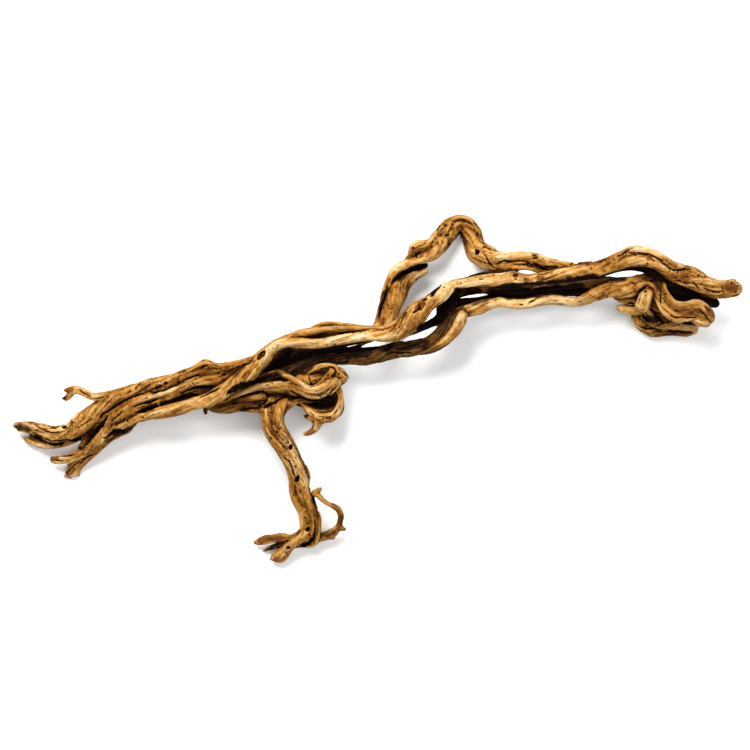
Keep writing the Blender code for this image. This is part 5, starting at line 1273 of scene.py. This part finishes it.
class Tree:
    """Short calls for building a material's nodes."""

    def __init__(self, material):
        material.use_nodes = True
        self.tree = material.node_tree
        self.shader = self.tree.nodes["Principled BSDF"]

    def node(self, kind, **settings):
        made = self.tree.nodes.new(kind)
        for name, value in settings.items():
            setattr(made, name, value)
        return made

    def plug(self, socket, value):
        if hasattr(value, "is_output"):
            self.tree.links.new(value, socket)
        else:
            socket.default_value = value

    def math(self, operation, first, second=0.0, third=0.0):
        made = self.node("ShaderNodeMath", operation=operation)
        for socket, value in zip(made.inputs, (first, second, third)):
            self.plug(socket, value)
        return made.outputs[0]

    def attribute(self, name, output="Fac"):
        return self.node("ShaderNodeAttribute", attribute_name=name).outputs[output]

    def spread(self, value, low, high):
        """0 at low and 1 at high, with a smooth step between."""
        made = self.node("ShaderNodeMapRange", interpolation_type="SMOOTHSTEP")
        self.plug(made.inputs["Value"], value)
        made.inputs["From Min"].default_value = low
        made.inputs["From Max"].default_value = high
        return made.outputs["Result"]

    def noise(self, vector, scale, stretch, detail, roughness):
        """Noise whose third axis is stretched: a stretch of 0.1 makes it ten times as long."""
        shrink = self.node("ShaderNodeVectorMath", operation="MULTIPLY")
        self.plug(shrink.inputs[0], vector)
        shrink.inputs[1].default_value = (scale, scale, scale * stretch)
        made = self.node("ShaderNodeTexNoise")
        self.plug(made.inputs["Vector"], shrink.outputs[0])
        made.inputs["Scale"].default_value = 1.0
        made.inputs["Detail"].default_value = detail
        made.inputs["Roughness"].default_value = roughness
        return made.outputs["Fac"]

    def ramp(self, value, stops):
        made = self.node("ShaderNodeValToRGB")
        self.plug(made.inputs[0], value)
        band = made.color_ramp
        while len(band.elements) < len(stops):
            band.elements.new(0.5)
        for element, (place, colour) in zip(band.elements, stops):
            element.position = place
            element.color = (*colour, 1.0)
        return made.outputs[0]

    def mix(self, amount, first, second):
        made = self.node("ShaderNodeMix", data_type="RGBA")
        self.plug(made.inputs[0], amount)
        for socket, value in ((made.inputs[6], first), (made.inputs[7], second)):
            self.plug(socket, value if hasattr(value, "is_output") else (*value, 1.0))
        return made.outputs[2]


# The colours of the wood, from the darkest tone to the palest, and of what is laid over it.
WOOD_COLOURS = (
    (0.10, (0.020, 0.006, 0.0012)), (0.28, (0.105, 0.038, 0.006)), (0.42, (0.210, 0.085, 0.014)),
    (0.56, (0.315, 0.142, 0.026)), (0.72, (0.440, 0.245, 0.076)), (0.88, (0.570, 0.390, 0.190)),
    (1.00, (0.670, 0.530, 0.340)),
)
RUST = (0.150, 0.045, 0.010)
# The dark of the cracks, and painted shade in the creases between stems.
CRACK_AND_CREASE_SHADE = (0.022, 0.007, 0.002)
DOT = (0.010, 0.004, 0.002)
# The dark browns go on the dark stems and patches: partly dark wood, partly painted shade.
DARK_BROWN = (0.100, 0.040, 0.015)
DARKEST_BROWN = (0.012, 0.0035, 0.001)
DARK_STREAK = (0.003, 0.001, 0.0005)
# Black: painted shade in the deepest hollows, and the dark of the cut cracks and pits.
BLACK = (0.006, 0.002, 0.001)

# How much each value of the mesh and each pattern adds to the tone.
# The hollow values darken it as painted shade; the ridge and pale values lighten it, partly as painted
# highlight.
PLAIN_TONE = 0.92
TONE_VALUES = {"ridge": 0.22, "thin": -0.24, "pale": 0.17, "near_hollow_shade": -1.3, "far_hollow_shade": -1.3}
TONE_PATTERNS = {"streak": 0.26, "fine": 0.22, "broad": 0.14, "patch": 0.55}

DOTS_TO_A_METRE = 110.0
ROUGHNESS = 0.38
FINE_ROUGHNESS = 0.35
SPECULAR = 0.02
BUMP_STRENGTH = 0.8
BUMP_HEIGHT = 0.0011


def wood_tone(tree, patterns):
    """How pale the wood is: pale on ridges by wear and painted highlight, dark on thin stems, painted shade
    in hollows.
    """
    tone = PLAIN_TONE
    for name, weight in TONE_VALUES.items():
        tone = tree.math("MULTIPLY_ADD", tree.attribute(name), weight, tone)
    for name, weight in TONE_PATTERNS.items():
        tone = tree.math("MULTIPLY_ADD", patterns[name], weight, tone)
    return tone


def rust_amount(tree, place, streak):
    """Faint rusty clouds, and the rusty patches broken up along the grain."""
    clouds = tree.spread(tree.noise(place, 44.0, 1.0, 2.0, 0.5), 0.56, 0.72)
    rust = tree.attribute("rust")
    patches = tree.math("MULTIPLY_ADD", streak, 0.8, tree.math("SUBTRACT", rust, 0.45))
    patches = tree.math("MULTIPLY", tree.spread(patches, 0.10, 0.60), tree.spread(rust, 0.0, 0.3))
    patches = tree.math("MULTIPLY", patches, 0.9)
    return tree.math("MAXIMUM", tree.math("MULTIPLY", clouds, 0.40), patches)


def crevice_amount(tree, grain, place):
    """Fine lines along the grain and the cracks of the relief, with painted shade in the creases between
    stems.
    """
    line = tree.math("SUBTRACT", tree.noise(grain, 0.42, 0.035, 2.0, 0.5), 0.5)
    line = tree.spread(tree.math("ABSOLUTE", line), 0.020, 0.006)
    some = tree.spread(tree.noise(place, 38.0, 1.0, 2.0, 0.5), 0.42, 0.58)
    crack = tree.spread(tree.attribute("crack"), 0.15, 0.7)
    crack = tree.math("MAXIMUM", crack, tree.math("MULTIPLY", line, some))
    # Painted shade in the creases between stems, only where they lie sunken.
    crease = tree.math("MULTIPLY", tree.spread(tree.attribute("crease"), 0.2, 0.9), 0.9)
    sunken = tree.spread(tree.attribute("near_hollow_shade"), 0.50, 0.60)
    crease = tree.math("MULTIPLY", crease, sunken)
    return tree.math("MAXIMUM", tree.math("MULTIPLY", crack, 0.9), crease)


def dot_amount(tree, place):
    """Small round dots, in some places only."""
    dots = tree.node("ShaderNodeTexVoronoi", feature="F1")
    tree.plug(dots.inputs["Vector"], place)
    dots.inputs["Scale"].default_value = DOTS_TO_A_METRE
    dot = tree.spread(dots.outputs["Distance"], 0.10, 0.065)
    some = tree.spread(tree.noise(place, 30.0, 1.0, 1.0, 0.5), 0.60, 0.66)
    return tree.math("MULTIPLY", dot, some)


def with_dark_stems_and_shade(tree, colour, streak):
    """The colour with the dark stems and patches laid over it, streaked along the grain: dark wood and
    painted shade.
    """
    dark = tree.attribute("dark_wood_and_shade")
    stain = tree.math("MULTIPLY_ADD", streak, 0.7, tree.math("SUBTRACT", dark, 0.30))
    stain = tree.math("MULTIPLY", tree.spread(stain, 0.10, 0.75), tree.spread(dark, 0.0, 0.3))
    brown = tree.mix(tree.spread(dark, 0.75, 1.0), DARK_BROWN, DARKEST_BROWN)
    brown = tree.mix(tree.spread(streak, 0.48, 0.70), DARK_STREAK, brown)
    return tree.mix(stain, colour, brown)


def wood_material():
    """Weathered vine wood: tan and streaked, with rust, crevices, dots and painted shade darkening the
    hollows.
    """
    material = bpy.data.materials.new("weathered_vine_wood")
    tree = Tree(material)
    grain = tree.attribute("grain", "Vector")
    place = tree.node("ShaderNodeTexCoord").outputs["Object"]
    streak = tree.noise(grain, 0.75, 0.055, 5.0, 0.65)
    fine = tree.noise(grain, 2.2, 0.05, 4.0, 0.7)
    broad = tree.noise(grain, 0.22, 0.10, 3.0, 0.5)
    patch = tree.noise(place, 26.0, 1.0, 3.0, 0.55)
    crevice = crevice_amount(tree, grain, place)
    dot = dot_amount(tree, place)
    # Painted shade: the deepest hollows are blackened.
    deep = tree.math("MULTIPLY", tree.spread(tree.attribute("far_hollow_shade"), 0.50, 0.72), 0.85)
    mark = tree.math("MULTIPLY", tree.spread(tree.attribute("mark"), 0.25, 0.8), 0.96)
    tone = wood_tone(tree, {"streak": streak, "fine": fine, "broad": broad, "patch": patch})
    colour = tree.ramp(tone, WOOD_COLOURS)
    colour = tree.mix(rust_amount(tree, place, streak), colour, RUST)
    colour = tree.mix(crevice, colour, CRACK_AND_CREASE_SHADE)
    colour = tree.mix(dot, colour, DOT)
    colour = with_dark_stems_and_shade(tree, colour, streak)
    colour = tree.mix(deep, colour, BLACK)
    colour = tree.mix(mark, colour, BLACK)
    tree.plug(tree.shader.inputs["Base Color"], colour)
    tree.plug(tree.shader.inputs["Roughness"], tree.math("MULTIPLY_ADD", fine, FINE_ROUGHNESS, ROUGHNESS))
    tree.shader.inputs["Specular IOR Level"].default_value = SPECULAR
    bump = tree.node("ShaderNodeBump")
    bump.inputs["Strength"].default_value = BUMP_STRENGTH
    bump.inputs["Distance"].default_value = BUMP_HEIGHT
    height = tree.math("MULTIPLY_ADD", streak, 1.0, tree.math("MULTIPLY", fine, 0.5))
    height = tree.math("MULTIPLY_ADD", crevice, -0.8, height)
    height = tree.math("MULTIPLY_ADD", dot, -1.2, height)
    tree.plug(bump.inputs["Height"], height)
    tree.plug(tree.shader.inputs["Normal"], bump.outputs[0])
    return material


def plain_material(name, colour, roughness):
    material = bpy.data.materials.new(name)
    material.use_nodes = True
    shader = material.node_tree.nodes["Principled BSDF"]
    shader.inputs["Base Color"].default_value = (*colour, 1.0)
    shader.inputs["Roughness"].default_value = roughness
    return material


# The photograph's view: straight down, one millimetre to a pixel at this height.
IMAGE_SIDE = 0.750
VIEW_CENTRE = (-0.001, 0.0135)
VIEW_HEIGHT = 0.045
LENS = 300.0
SENSOR = 36.0
CLIP = (0.1, 50.0)

FLOOR_HALF = 4.0
FLOOR_DROP = 0.0002
FLOOR_COLOUR = (0.93, 0.93, 0.925)
FLOOR_ROUGHNESS = 0.9

# Each light's name, place, size, power and colour.
LIGHTS = (
    ("key", (-0.6, 1.35, 1.9), 1.4, 108.0, (1.0, 0.985, 0.96)),
    ("fill", (0.9, -0.3, 2.6), 2.4, 44.0, (0.98, 0.99, 1.0)),
)
SKY = (1.0, 1.0, 1.0, 1.0)
SKY_STRENGTH = 0.35


def add_camera():
    data = bpy.data.cameras.new("camera")
    data.lens = LENS
    data.sensor_width = SENSOR
    data.dof.use_dof = False
    distance = LENS * IMAGE_SIDE / SENSOR
    data.clip_start, data.clip_end = CLIP
    camera = bpy.data.objects.new("camera", data)
    camera.location = (*VIEW_CENTRE, VIEW_HEIGHT + distance)
    bpy.context.scene.collection.objects.link(camera)
    bpy.context.scene.camera = camera


def add_floor():
    mesh = bpy.data.meshes.new("floor")
    half = FLOOR_HALF
    corners = [(-half, -half, 0), (half, -half, 0), (half, half, 0), (-half, half, 0)]
    mesh.from_pydata(corners, [], [(0, 1, 2, 3)])
    floor = bpy.data.objects.new("floor", mesh)
    floor.location.z = -FLOOR_DROP
    floor.data.materials.append(plain_material("pale_floor", FLOOR_COLOUR, FLOOR_ROUGHNESS))
    bpy.context.scene.collection.objects.link(floor)


def add_light(name, place, size, power, colour):
    """A soft round light that shines at the middle of the branch."""
    data = bpy.data.lights.new(name, "AREA")
    data.shape = "DISK"
    data.size = size
    data.energy = power
    data.color = colour
    light = bpy.data.objects.new(name, data)
    light.location = place
    light.rotation_mode = "QUATERNION"
    light.rotation_quaternion = (-Vector(place)).to_track_quat("-Z", "Y")
    bpy.context.scene.collection.objects.link(light)


def add_lights():
    for light in LIGHTS:
        add_light(*light)
    world = bpy.data.worlds.new("studio")
    world.use_nodes = True
    background = world.node_tree.nodes["Background"]
    background.inputs["Color"].default_value = SKY
    background.inputs["Strength"].default_value = SKY_STRENGTH
    bpy.context.scene.world = world
    bpy.context.scene.view_settings.view_transform = "Standard"


def main():
    branch = build_branch()
    branch.data.materials.append(wood_material())
    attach(branch, "root")
    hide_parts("branch")
    add_floor()
    add_lights()
    add_camera()


main()
